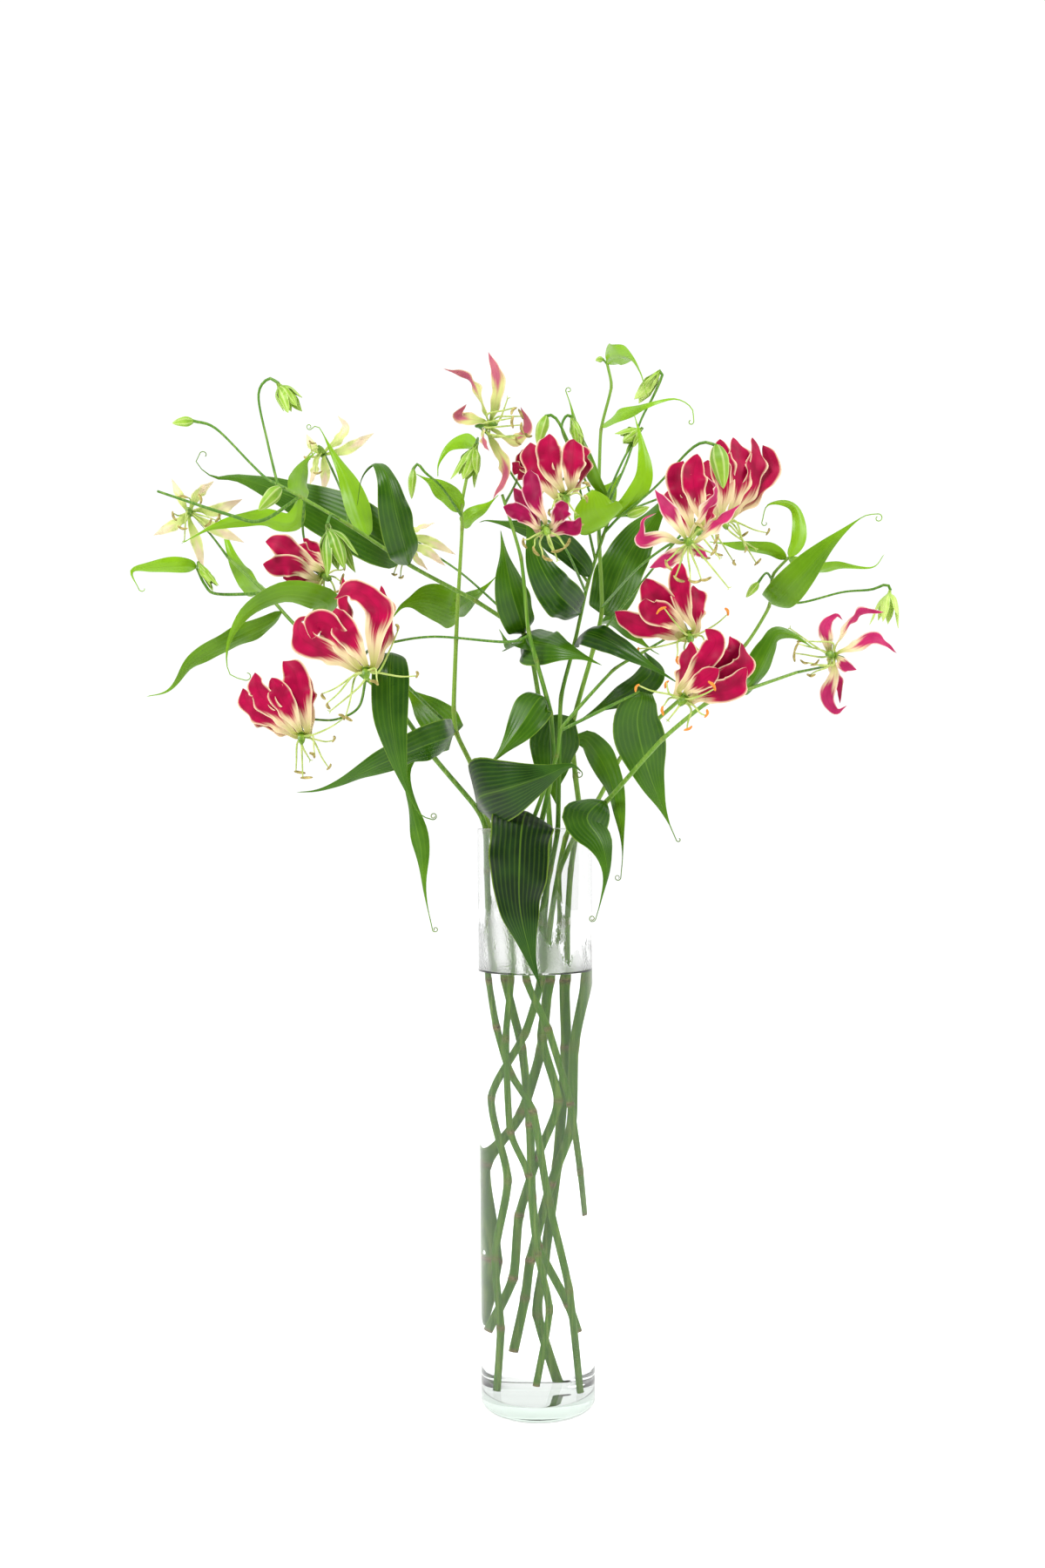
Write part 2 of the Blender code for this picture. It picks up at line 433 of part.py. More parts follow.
# Flowers: where the collar sits, the way it faces, its tone, the stem and the stalk's places, then the tepals
# (breadth in mm and places out to the tip), the anthers and the end of the style
FLOWERS = {
    "crown_pink": {
        "centre": (559, 488, -40), "faces": (0.75, -0.55, -0.1), "tone": "pink", "stem": "stem_crown",
        "stalk": (
            (672, 668, -8), (639, 619, -2), (608, 574, 2), (585, 540, 2), (566, 506, -14), (553, 492, -24),
        ),
        "tepals": (
            (13, (572, 440, -6), (561, 404, 6)),
            (13, (540, 436, 8), (509, 423, 4)),
            (12, (526, 478, 2), (536, 464, -8)),
            (10, (556, 506, -14), (562, 518, -18)),
            (12, (590, 505, 8), (606, 490, 14), (598, 467, 16)),
            (12, (582, 540, 0), (566, 574, 6)),
        ),
        "anthers": (
            (591, 468, -30), (598, 488, -34), (604, 500, -24), (588, 480, -38), (600, 478, -16),
            (592, 504, -30),
        ),
        "style": (583, 458, -24),
    },
    "red_upper": {
        "centre": (647, 567, -70), "faces": (0.35, -0.5, -0.8), "tone": "red", "stem": "stem_crown",
        "stalk": ((675, 640, -9), (672, 590, -20), (664, 556, -34), (652, 548, -50)),
        "tepals": (
            (16, (626, 545, 0), (612, 524, 2), (609, 508, 4)),
            (14, (634, 540, -6), (630, 515, -6), (631, 498, -2)),
            (14, (656, 545, -8), (658, 522, -6), (659, 504, -2)),
            (12, (668, 548, 8), (670, 525, 14), (664, 512, 18)),
            (11, (632, 556, 12), (622, 532, 20), (626, 512, 24)),
        ),
        "anthers": (
            (677, 556, -20), (675, 574, -10), (660, 604, -8), (640, 596, -16), (630, 586, -6),
            (650, 590, -28),
        ),
        "style": (662, 590, -24),
    },
    "red_behind": {
        "centre": (618, 545, -22), "faces": (0.5, -0.3, -0.8), "tone": "red", "stem": "stem_red_left",
        "stalk": ((580, 578, -35), (590, 560, -18), (600, 540, -12), (612, 532, -14)),
        "tepals": (
            (10, (598, 540, -2), (588, 531, -2)),
            (10, (603, 528, -4), (600, 516, -4)),
            (10, (616, 524, -8), (612, 512, -8)),
            (9, (630, 532, 6), (630, 520, 8)),
        ),
        "anthers": ((636, 560, -4), (610, 566, -8)),
        "style": (620, 572, -2),
    },
    "magenta_low": {
        "centre": (626, 606, -112), "faces": (0.2, -0.75, -0.6), "tone": "magenta", "stem": "stem_crown",
        "stalk": ((674, 680, -9), (655, 640, -50), (635, 604, -84), (628, 598, -96)),
        "tepals": (
            (13, (614, 575, -4), (608, 539, 2)),
            (11, (600, 590, 2), (578, 582, 8)),
            (12, (642, 590, 0), (652, 578, 6)),
            (10, (648, 606, 4), (662, 606, 4), (667, 594, 8)),
            (10, (612, 592, 10), (590, 560, 18)),
        ),
        "anthers": ((612, 630, -10), (636, 634, -12), (650, 628, -10), (600, 620, -4), (624, 640, -14)),
        "style": (640, 642, -8),
    },
    "red_top_right": {
        "centre": (830, 595, -22), "faces": (0.25, -0.35, -0.9), "tone": "red", "stem": "stem_tall_right",
        "stalk": ((688, 600, 26), (750, 575, 48), (805, 556, 34), (824, 566, 8)),
        "tepals": (
            (14, (818, 570, -8), (810, 545, -8), (813, 528, -4)),
            (14, (832, 560, -12), (828, 525, -12), (827, 504, -8)),
            (15, (848, 560, -8), (848, 525, -6), (842, 502, -2)),
            (15, (860, 560, 0), (868, 525, 4), (864, 502, 8)),
            (15, (866, 568, 10), (884, 535, 16), (876, 511, 20)),
            (12, (815, 575, 10), (798, 548, 18), (800, 524, 22)),
        ),
        "anthers": (
            (882, 612, -2), (857, 632, -12), (869, 647, -6), (842, 644, -14), (822, 636, 4),
            (852, 616, 12),
        ),
        "style": (868, 630, 4),
    },
    "red_star_behind": {
        "centre": (800, 606, -76), "faces": (0.3, -0.6, -0.75), "tone": "red", "stem": "stem_tall_right",
        "stalk": ((684, 735, 23), (745, 659, -26), (784, 612, -56), (797, 598, -64)),
        "tepals": (
            (14, (786, 575, 0), (778, 545, 4), (785, 529, 6)),
            (14, (800, 575, -4), (796, 545, -2), (801, 521, 2)),
            (12, (782, 590, 6), (772, 570, 10), (774, 556, 12)),
            (11, (812, 585, 0), (818, 568, 4)),
        ),
        "anthers": ((822, 622, -6), (806, 640, -8)),
        "style": (826, 640, -4),
    },
    "pink_star": {
        "centre": (790, 622, -122), "faces": (0.1, -0.95, -0.25), "tone": "pink", "stem": "stem_tall_right",
        "stalk": ((692, 697, 21), (730, 655, -50), (766, 627, -92), (786, 620, -108)),
        "tepals": (
            (13, (772, 592, 0), (752, 562, 10)),
            (14, (806, 592, -2), (824, 565, 6), (812, 547, 12)),
            (13, (822, 602, 2), (850, 579, 12)),
            (12, (762, 616, 0), (738, 620, 6), (740, 598, 10), (754, 589, 12)),
            (14, (772, 640, -2), (746, 652, 8)),
            (10, (802, 632, 0), (813, 640, 2)),
        ),
        "anthers": (
            (775, 664, -12), (793, 668, -16), (806, 667, -14), (819, 636, -18), (764, 646, -14),
            (808, 606, -18),
        ),
        "style": (836, 674, -12),
    },
    "red_mid_right": {
        "centre": (790, 727, -62), "faces": (0.2, -0.6, -0.75), "tone": "red", "stem": "stem_mid_right",
        "stalk": ((740, 748, -32), (762, 735, -34), (784, 722, -44)),
        "tepals": (
            (17, (770, 705, 0), (748, 680, 4), (742, 664, 8)),
            (12, (786, 700, -6), (780, 668, -2), (781, 644, 2)),
            (14, (766, 708, -10), (745, 700, -8), (741, 687, -6)),
            (13, (760, 722, -2), (730, 716, 0), (706, 702, 4)),
            (12, (798, 702, 0), (800, 684, 4), (796, 672, 8)),
        ),
        "anthers": (
            (732, 745, 2), (777, 755, -14), (837, 704, -6), (762, 697, -20), (812, 742, -10),
            (790, 760, -4),
        ),
        "style": (806, 750, -18),
    },
    "red_low_right": {
        "centre": (787, 799, -122), "faces": (-0.45, -0.5, -0.7), "tone": "red", "stem": "stem_far_right",
        "stalk": ((812, 806, -88), (816, 794, -92), (796, 790, -104)),
        "tepals": (
            (13, (800, 770, -2), (822, 738, 0), (810, 722, 4)),
            (14, (812, 776, 4), (842, 752, 8), (838, 730, 10)),
            (14, (818, 784, 0), (852, 766, 4), (852, 738, 8)),
            (14, (812, 795, -4), (840, 790, -4), (858, 766, 0)),
            (12, (790, 765, 6), (794, 736, 10)),
            (11, (806, 782, -10), (826, 768, -12)),
        ),
        "anthers": (
            (732, 786, -4), (789, 838, -8), (822, 790, -24), (760, 812, -4), (812, 822, -10),
            (766, 782, 4),
        ),
        "style": (768, 826, -10),
    },
    "pink_far_right": {
        "centre": (959, 753, -22), "faces": (-0.75, -0.55, 0.1), "tone": "pink", "stem": "stem_far_right",
        "stalk": ((915, 772, -38), (944, 766, -10), (968, 760, -4)),
        "tepals": (
            (12, (968, 728, 0), (988, 704, 4), (1016, 703, 8)),
            (12, (980, 744, -2), (1005, 733, 0), (1030, 750, 4)),
            (11, (950, 733, -4), (948, 718, -2), (960, 706, 0), (968, 712, 0)),
            (12, (958, 775, 0), (950, 800, 4), (960, 816, 6), (973, 810, 6)),
            (9, (963, 780, 10), (965, 808, 14)),
            (10, (970, 764, -10), (984, 769, -8)),
        ),
        "anthers": (
            (916, 739, -14), (921, 760, -18), (929, 776, -16), (912, 750, -6), (924, 736, -24),
            (934, 764, -26),
        ),
        "style": (908, 722, -10),
    },
    "red_left": {
        "centre": (420, 766, -102), "faces": (0.1, -0.4, -0.9), "tone": "red", "stem": "stem_red_left",
        "stalk": ((607, 730, -37), (581, 737, -50), (500, 731, -74), (448, 738, -76), (428, 744, -80)),
        "tepals": (
            (16, (384, 752, 0), (350, 735, 2), (343, 718, 6), (356, 707, 8)),
            (15, (396, 742, -6), (378, 718, -6), (362, 716, -4), (358, 734, -8)),
            (14, (404, 735, -10), (390, 712, -8), (386, 698, -4)),
            (17, (430, 730, -8), (434, 700, -6), (408, 678, 0), (384, 688, 2)),
            (13, (440, 735, 6), (442, 700, 12), (438, 672, 16)),
            (12, (402, 744, 5), (398, 700, 17), (394, 662, 22)),
        ),
        "anthers": (
            (369, 797, -4), (375, 808, -10), (397, 823, -8), (434, 784, -14), (480, 776, 0),
            (458, 722, 12),
        ),
        "style": (380, 816, 2),
    },
    "red_left_low": {
        "centre": (346, 841, -62), "faces": (0.1, -0.45, -0.9), "tone": "red", "stem": "stem_far_left",
        "stalk": ((420, 779, -28), (412, 812, -34), (386, 826, -42), (358, 826, -44), (348, 828, -50)),
        "tepals": (
            (15, (344, 800, -6), (338, 772, -4), (325, 759, 0)),
            (13, (330, 812, -10), (318, 790, -10), (312, 778, -8)),
            (13, (318, 818, -6), (298, 795, -6), (293, 772, -2)),
            (14, (312, 824, 0), (286, 808, 4), (279, 790, 8)),
            (12, (306, 826, 10), (284, 815, 14)),
            (12, (350, 805, 8), (350, 785, 14), (344, 768, 16)),
        ),
        "anthers": (
            (348, 893, -8), (340, 886, -2), (378, 882, -4), (396, 824, -12), (362, 868, -14),
            (384, 850, 4),
        ),
        "style": (356, 872, 4),
    },
    "red_left_small": {
        "centre": (369, 659, -38), "faces": (0.75, -0.35, -0.5), "tone": "red", "stem": "stem_left_tall",
        "stalk": ((350, 573, -28), (348, 608, -8), (354, 636, -14), (361, 649, -26)),
        "tepals": (
            (13, (342, 640, -2), (320, 624, 0), (305, 622, 4)),
            (12, (340, 650, -8), (316, 650, -6), (302, 648, -4)),
            (12, (345, 634, 6), (330, 620, 10)),
            (11, (350, 660, 0), (325, 664, 4)),
            (10, (362, 636, 14), (348, 618, 18)),
        ),
        "anthers": ((392, 668, 2), (386, 680, -2), (396, 652, 4), (374, 682, -6)),
        "style": (388, 690, 2),
    },
    "pale_far_left": {
        "centre": (220, 589, 18), "faces": (-0.1, -0.95, 0.1), "tone": "pale", "stem": "stem_far_left",
        "stalk": ((262, 640, 8), (244, 616, 20), (230, 600, 24)),
        "tepals": (
            (8, (208, 572, 0), (197, 549, 4)),
            (10, (228, 568, 0), (246, 552, 4)),
            (11, (248, 586, 0), (279, 573, 4)),
            (11, (246, 606, 2), (281, 623, 6)),
            (10, (226, 622, 0), (234, 656, 4)),
            (10, (204, 600, 0), (176, 615, 4)),
        ),
        "anthers": (
            (250, 598, -16), (238, 604, -20), (206, 606, -16), (198, 590, -14), (214, 570, -16),
            (232, 576, -18),
        ),
        "style": (212, 620, -14),
    },
    "pale_behind": {
        "centre": (372, 522, 42), "faces": (-0.3, -0.75, 0.5), "tone": "pale", "stem": "stem_left_tall",
        "stalk": ((400, 602, -28), (398, 580, 15), (389, 556, 44), (382, 540, 51)),
        "tepals": (
            (9, (388, 505, 0), (397, 490, 2), (388, 477, 4)),
            (10, (398, 516, 2), (430, 497, 6)),
            (9, (374, 545, 0), (371, 566, 4)),
            (8, (362, 540, 4), (356, 557, 6)),
            (8, (358, 510, 2), (352, 498, 6)),
        ),
        "anthers": ((350, 526, -14), (356, 508, -18), (362, 544, -18)),
        "style": (344, 536, -16),
    },
    "pale_half_hidden": {
        "centre": (470, 620, 26), "faces": (-0.8, -0.5, -0.3), "tone": "pale", "stem": "stem_left_tall",
        "stalk": ((603, 727, 8), (579, 702, 16), (530, 658, 26), (486, 628, 34)),
        "tepals": (
            (9, (495, 622, -4), (524, 637, -2)),
            (9, (490, 632, -6), (512, 650, -4)),
            (8, (484, 606, 4), (500, 600, 8)),
            (8, (478, 640, 6), (492, 655, 10)),
        ),
        "anthers": ((446, 648, -4), (452, 660, -2), (460, 664, -6), (444, 630, 0)),
        "style": (448, 612, 0),
    },
}
TONES = {"red": "#B3063C", "magenta": "#A80F4A", "pink": "#C75A80", "pale": "#E8DDB4"}


def place(column, row, depth):
    """The point seen at this column and row, this many millimetres behind the vase's axis."""
    across = (column - AXIS_COLUMN - LEAN * (row - RIM_ROW)) * GRID_STEP
    up = VASE_HEIGHT + (RIM_ROW - row - LEAN * (column - AXIS_COLUMN)) * GRID_STEP
    on_grid = Vector((across, 0.0, up))
    return EYE + (on_grid - EYE) * (1 - depth * MM / EYE.y)


def grown(column, row, depth):
    """A place on a plant, its depth spread out above the rim."""
    share = min(1.0, max(0.0, (RIM_ROW - row) / SPREAD_ROWS))
    spread = BACK_SPREAD if depth > 0 else FRONT_SPREAD
    return place(column, row, depth * (1 + (spread - 1) * share))


def beyond(centre, column, row, depth):
    """A place on a flower, its depth counted from the flower's centre."""
    return place(column, row, centre.y / MM + depth)


def place_in_water(column, row, depth):
    """The point seen here through the round water, which spreads things by 4 / (3 - depth over radius)."""
    axis = AXIS_COLUMN + LEAN * (row - RIM_ROW)
    squeeze = (3 - depth * MM / VASE_RADIUS) / 4
    return place(axis + (column - axis) * squeeze, row, depth)


def smooth(points, steps):
    """A Catmull-Rom curve through the points, with this many steps to a span."""
    ends = [2 * points[0] - points[1], *points, 2 * points[-1] - points[-2]]
    curve = []
    for i in range(1, len(points)):
        a, b, c, d = ends[i - 1 : i + 3]
        for k in range(steps):
            t = k / steps
            bend = (2 * a - 5 * b + 4 * c - d) * t**2 + (3 * b - a - 3 * c + d) * t**3
            curve.append(0.5 * (2 * b + (c - a) * t + bend))
    return [*curve, points[-1]]


def at_fractions(line, fractions):
    """Points at these fractions of the line's length."""
    run = [0.0]
    for a, b in zip(line, line[1:]):
        run.append(run[-1] + (b - a).length)
    found = []
    for fraction in fractions:
        goal = fraction * run[-1]
        i = next((k for k in range(1, len(run)) if run[k] >= goal), len(run) - 1)
        span = max(run[i] - run[i - 1], 1e-9)
        found.append(line[i - 1].lerp(line[i], min(1.0, (goal - run[i - 1]) / span)))
    return found


def tangents(line):
    before = [line[0], *line[:-1]]
    after = [*line[1:], line[-1]]
    return [(b - a).normalized() for a, b in zip(before, after)]


def carried_normals(line, normal, start):
    """The normal given at one point of the line, carried along it both ways without twist."""
    ways = tangents(line)
    normals = [None] * len(line)
    normals[start] = (normal - ways[start] * normal.dot(ways[start])).normalized()
    for i in range(start + 1, len(line)):
        normals[i] = ways[i - 1].rotation_difference(ways[i]) @ normals[i - 1]
    for i in range(start - 1, -1, -1):
        normals[i] = ways[i + 1].rotation_difference(ways[i]) @ normals[i + 1]
    return normals


def mesh_object(name, points, faces):
    mesh = bpy.data.meshes.new(name)
    mesh.from_pydata(points, [], faces)
    shape = bmesh.new()
    shape.from_mesh(mesh)
    bmesh.ops.recalc_face_normals(shape, faces=shape.faces)
    shape.to_mesh(mesh)
    shape.free()
    obj = bpy.data.objects.new(name, mesh)
    bpy.context.scene.collection.objects.link(obj)
    return obj


def skin(name, rings):
    """A closed body through the rings, each end capped."""
    sides = len(rings[0])
    points = [point for ring in rings for point in ring]
    faces = [list(range(sides)), [len(points) - sides + k for k in range(sides)]]
    for i in range(len(rings) - 1):
        for k in range(sides):
            low, high = i * sides, (i + 1) * sides
            after = (k + 1) % sides
            faces.append([low + k, low + after, high + after, high + k])
    return mesh_object(name, points, faces)


def rings_along(line, radii, sides):
    ways = tangents(line)
    normals = carried_normals(line, ways[0].orthogonal(), 0)
    rings = []
    for point, way, normal, radius in zip(line, ways, normals, radii):
        across = way.cross(normal)
        turns = [2 * math.pi * k / sides for k in range(sides)]
        rings.append([point + radius * (math.cos(t) * normal + math.sin(t) * across) for t in turns])
    return rings


def tube(name, line, first_radius, last_radius, sides):
    count = len(line) - 1
    radii = [first_radius + (last_radius - first_radius) * i / count for i in range(count + 1)]
    return skin(name, rings_along(line, radii, sides))


def spindle(name, start, end, radius, shape, sides):
    line = [start.lerp(end, fraction) for fraction, _ in shape]
    return skin(name, rings_along(line, [radius * breadth for _, breadth in shape], sides))


def ribbon(name, line, normals, widths, fold, ripple, thickness):
    """A thin closed blade, pointed at both ends, its two faces split into triangles alike."""
    ways = tangents(line)
    widest = max(widths)
    rows = []
    for i, (point, way, normal, width) in enumerate(zip(line, ways, normals, widths)):
        side = way.cross(normal)
        row = []
        for face in (0.5, -0.5):
            for j in (-1, 0, 1):
                lift = abs(j) * fold * width / 2 + j * (-1) ** i * ripple * width / widest
                row.append(point + side * (j * width / 2) + normal * (lift + face * thickness))
        rows.append(row)
    last = len(rows) - 1
    middle = [point for row in rows[1:last] for point in row]
    points = [rows[0][1], rows[0][4], *middle, rows[last][1], rows[last][4]]
    faces = []
    for i in range(last - 2):
        here, there = 2 + 6 * i, 8 + 6 * i
        for j in (0, 1):
            faces += [[here + j, here + j + 1, there + j + 1], [here + j, there + j + 1, there + j]]
            below, beyond = here + j + 3, there + j + 3
            faces += [[below, beyond + 1, below + 1], [below, beyond, beyond + 1]]
        faces += [[here, there, there + 3, here + 3], [here + 2, here + 5, there + 5, there + 2]]
    for top, row in ((0, 2), (len(points) - 2, len(points) - 8)):
        for j in (0, 1):
            faces += [[top, row + j, row + j + 1], [top + 1, row + j + 3, row + j + 4]]
        faces += [[top, top + 1, row + 3, row], [top, top + 1, row + 5, row + 2]]
    return mesh_object(name, points, faces)


def leaf(name, breadth, roll, fold, points):
    fractions, shares = zip(*(CURLED_LEAF_SHAPE if len(points) >= CURLED_FROM else LEAF_SHAPE))
    line = at_fractions(smooth(points, SPAN_STEPS), fractions)
    way = tangents(line)[WIDEST]
    breadth *= 1 - line[WIDEST].y / EYE.y
    facing = Matrix.Rotation(math.radians(roll), 3, way) @ (EYE - line[WIDEST])
    normals = carried_normals(line, facing, WIDEST)
    widths = [max(TENDRIL_WIDTH, breadth * share) for share in shares]
    return ribbon(name, line, normals, widths, -fold, LEAF_RIPPLE, LEAF_THICKNESS)


def root_ways(centre, faces, firsts):
    """The ways the tepals leave the collar: evenly round it, each as near as can be to where its tepal goes."""
    right = faces.orthogonal().normalized()
    up = faces.cross(right)
    turns = [math.atan2((spot - centre).dot(up), (spot - centre).dot(right)) for spot in firsts]
    order = sorted(range(len(turns)), key=turns.__getitem__)
    step = 2 * math.pi / len(turns)
    lag = [turns[i] - step * k for k, i in enumerate(order)]
    phase = math.atan2(sum(map(math.sin, lag)), sum(map(math.cos, lag)))
    ways = [None] * len(turns)
    for k, i in enumerate(order):
        ways[i] = math.cos(phase + step * k) * right + math.sin(phase + step * k) * up
    return ways


def tepal(name, centre, faces, out, breadth, places):
    fractions, shares = zip(*TEPAL_SHAPE)
    foot = centre + out * TEPAL_FOOT_REACH + faces * TEPAL_FOOT_LIFT
    line = at_fractions(smooth([centre + out * ROOT_DEPTH, foot, *places], SPAN_STEPS), fractions)
    away = line[WIDEST] - centre
    breadth *= 1 - centre.y / EYE.y
    normals = carried_normals(line, away - faces * away.dot(faces), WIDEST)
    widths = [breadth * share for share in shares]
    return ribbon(name, line, normals, widths, TEPAL_FOLD, TEPAL_RIPPLE, TEPAL_THICKNESS)


def fuse(name, pieces, material):
    """One Boolean union of the pieces, kept as one body: sealed hollows are filled and loose scrap is dropped."""
    base, others = pieces[0], pieces[1:]
    group = bpy.data.collections.new(name + "_pieces")
    bpy.context.scene.collection.children.link(group)
    for piece in others:
        bpy.context.scene.collection.objects.unlink(piece)
        group.objects.link(piece)
    union = base.modifiers.new("union", "BOOLEAN")
    union.operation = "UNION"
    union.operand_type = "COLLECTION"
    union.collection = group
    union.solver = "EXACT"
    mesh = bpy.data.meshes.new_from_object(base.evaluated_get(bpy.context.evaluated_depsgraph_get()))
    base.modifiers.clear()
    base.data = mesh
    for piece in others:
        bpy.data.objects.remove(piece)
    bpy.data.collections.remove(group)
    keep_main_body(name, mesh)
    base.name = name
    mesh.materials.clear()
    mesh.materials.append(material)
    return base


def keep_main_body(name, mesh):
    shape = bmesh.new()
    shape.from_mesh(mesh)
    left = set(shape.verts)
    bodies = []
    while left:
        reached = {left.pop()}
        front = list(reached)
        while front:
            for edge in front.pop().link_edges:
                for vert in edge.verts:
                    if vert not in reached:
                        reached.add(vert)
                        front.append(vert)
        left -= reached
        bodies.append(reached)
    bodies.sort(key=len, reverse=True)
    for body in bodies[1:]:
        if len(body) > SCRAP_POINTS:
            where = sum((vert.co for vert in body), Vector()) / len(body)
            print(f"{name}: a body of {len(body)} points is apart at {where}")
        bmesh.ops.delete(shape, geom=list(body), context="VERTS")
    shape.to_mesh(mesh)
    shape.free()


def lathe(name, profile, sides, material):
    """A body turned about the vertical axis from (radius, height) pairs whose first and last lie on the axis."""
    rings = []
    for radius, height in profile[1:-1]:
        turns = [2 * math.pi * k / sides for k in range(sides)]
        rings.append([Vector((radius * math.cos(t), radius * math.sin(t), height)) for t in turns])
    obj = skin(name, rings)
    obj.data.materials.append(material)
    return obj


def principled(name, colour, roughness, transmission=0.0, alpha=1.0, ior=1.45):
    material = bpy.data.materials.new(name)
    material.use_nodes = True
    shader = material.node_tree.nodes["Principled BSDF"]
    channels = [int(colour[i : i + 2], 16) / 255 for i in (1, 3, 5)]
    linear = [c / 12.92 if c <= 0.04045 else ((c + 0.055) / 1.055) ** 2.4 for c in channels]
    shader.inputs["Base Color"].default_value = (*linear, 1.0)
    shader.inputs["Roughness"].default_value = roughness
    shader.inputs["Metallic"].default_value = 0.0
    shader.inputs["Transmission Weight"].default_value = transmission
    shader.inputs["Alpha"].default_value = alpha
    shader.inputs["IOR"].default_value = ior
    material.diffuse_color = (*linear, alpha)
    return material


def build_vase(material):
    inner = VASE_RADIUS - WALL
    inset = EDGE_ROUND * (1 - math.sin(math.radians(45)))
    profile = [
        (0, 0),
        (VASE_RADIUS - EDGE_ROUND, 0), (VASE_RADIUS - inset, inset), (VASE_RADIUS, EDGE_ROUND),
        (VASE_RADIUS, VASE_HEIGHT), (inner, VASE_HEIGHT),
        (inner, FLOOR_THICKNESS + EDGE_ROUND), (inner - EDGE_ROUND, FLOOR_THICKNESS),
        (0, FLOOR_THICKNESS),
    ]
    return lathe("vase", profile, VASE_SIDES, material)


def build_water(material, holes):
    radius = VASE_RADIUS - WALL - GAP
    low = FLOOR_THICKNESS + GAP
    rounded = [(radius - EDGE_ROUND, low), (radius, low + EDGE_ROUND)]
    profile = [(0, low), *rounded, (radius, WATER_TOP), (0, WATER_TOP)]
    water = lathe("water", profile, VASE_SIDES, material)
    group = bpy.data.collections.new("holes")
    bpy.context.scene.collection.children.link(group)
    for hole in holes:
        bpy.context.scene.collection.objects.unlink(hole)
        group.objects.link(hole)
    cut = water.modifiers.new("holes", "BOOLEAN")
    cut.operation = "DIFFERENCE"
    cut.operand_type = "COLLECTION"
    cut.collection = group
    cut.solver = "EXACT"
    mesh = bpy.data.meshes.new_from_object(water.evaluated_get(bpy.context.evaluated_depsgraph_get()))
    water.modifiers.clear()
    water.data = mesh
    for hole in holes:
        bpy.data.objects.remove(hole)
    bpy.data.collections.remove(group)
    mesh.materials.clear()
    mesh.materials.append(material)
    return water


def stem_line(wet, dry):
    """The stem's line, and how many of its points are in or just above the water."""
    below = [place_in_water(*spot) for spot in wet]
    above = [grown(*spot) for spot in dry]
    return [*below, *above], len(below) + 1


def stem_radii(line, wet_count):
    lowest = [STEM_RADIUS] * wet_count
    rest = len(line) - wet_count
    return lowest + [STEM_RADIUS + (STEM_TIP_RADIUS - STEM_RADIUS) * (i + 1) / rest for i in range(rest)]


def stood(rings, height):
    """The rings with the lowest laid level at this height, if the stem stands on the floor."""
    if min(point.z for point in rings[0]) < FLOOR_THICKNESS + STANDS_WITHIN:
        rings[0] = [Vector((point.x, point.y, height)) for point in rings[0]]
    return rings


def hole_for(name, line, wet_count):
    """What a stem keeps free of water: its own shape grown by the gap, a little past its cut end."""
    rings = rings_along(line, [STEM_RADIUS + GAP] * len(line), STEM_SIDES)[:wet_count]
    down = (line[0] - line[1]).normalized() * (2 * GAP)
    rings[0] = [point + down for point in rings[0]]
    return skin(name + "_hole", stood(rings, FLOOR_THICKNESS - 0.001))


def rooted(points, lines):
    """The points with the first moved onto the nearest of the lines."""
    best = None
    for line in lines:
        for a, b in zip(line, line[1:]):
            span = b - a
            share = min(1.0, max(0.0, (points[0] - a).dot(span) / span.length_squared))
            spot = a + span * share
            if best is None or (spot - points[0]).length < (best - points[0]).length:
                best = spot
    return [best, *points[1:]]


def flower_line_end(centre, faces):
    """Where a flower's stalk turns straight, and where it ends behind the collar."""
    end = centre - faces * (COLLAR_HEIGHT / 2 + KNOB_GAP)
    return end - faces * KNOB_LENGTH, end


def build_flower(name, spec, materials):
    centre = grown(*spec["centre"])
    faces = Vector(spec["faces"]).normalized()
    half = COLLAR_HEIGHT / 2
    ends = [centre - faces * half, centre + faces * half]
    pieces = [tube("collar", ends, COLLAR_RADIUS, COLLAR_RADIUS, STEM_SIDES)]
    lines = [[beyond(centre, *point) for point in places] for _, *places in spec["tepals"]]
    ways = root_ways(centre, faces, [line[0] for line in lines])
    for (breadth, *_), line, way in zip(spec["tepals"], lines, ways):
        pieces.append(tepal("tepal", centre, faces, way, breadth * MM, line))
    fuse("tepals_" + name, pieces, materials[spec["tone"]])

    foot = centre + faces * (half + GAP)
    tip = foot + faces * OVARY_LENGTH
    pieces = [spindle("ovary", foot, tip, OVARY_RADIUS, OVARY_SHAPE, STEM_SIDES)]
    for point in spec["anthers"]:
        end = beyond(centre, *point)
        out = end - foot
        out = (out - faces * out.dot(faces)).normalized()
        across = faces.cross(out) * ANTHER_LENGTH
        bend = foot + faces * FILAMENT_BEND[0] + out * FILAMENT_BEND[1]
        line = [foot + faces * FILAMENT_FOOT, bend, end, end + across]
        radii = [FILAMENT_RADIUS] * 2 + [ANTHER_RADIUS] * 2
        pieces.append(skin("stamen", rings_along(line, radii, STALK_SIDES)))
    line = [tip - faces * 2 * ROOT_DEPTH, beyond(centre, *spec["style"])]
    pieces.append(tube("style", line, STYLE_RADIUS, STYLE_RADIUS, STALK_SIDES))
    fuse("heart_" + name, pieces, materials["heart"])


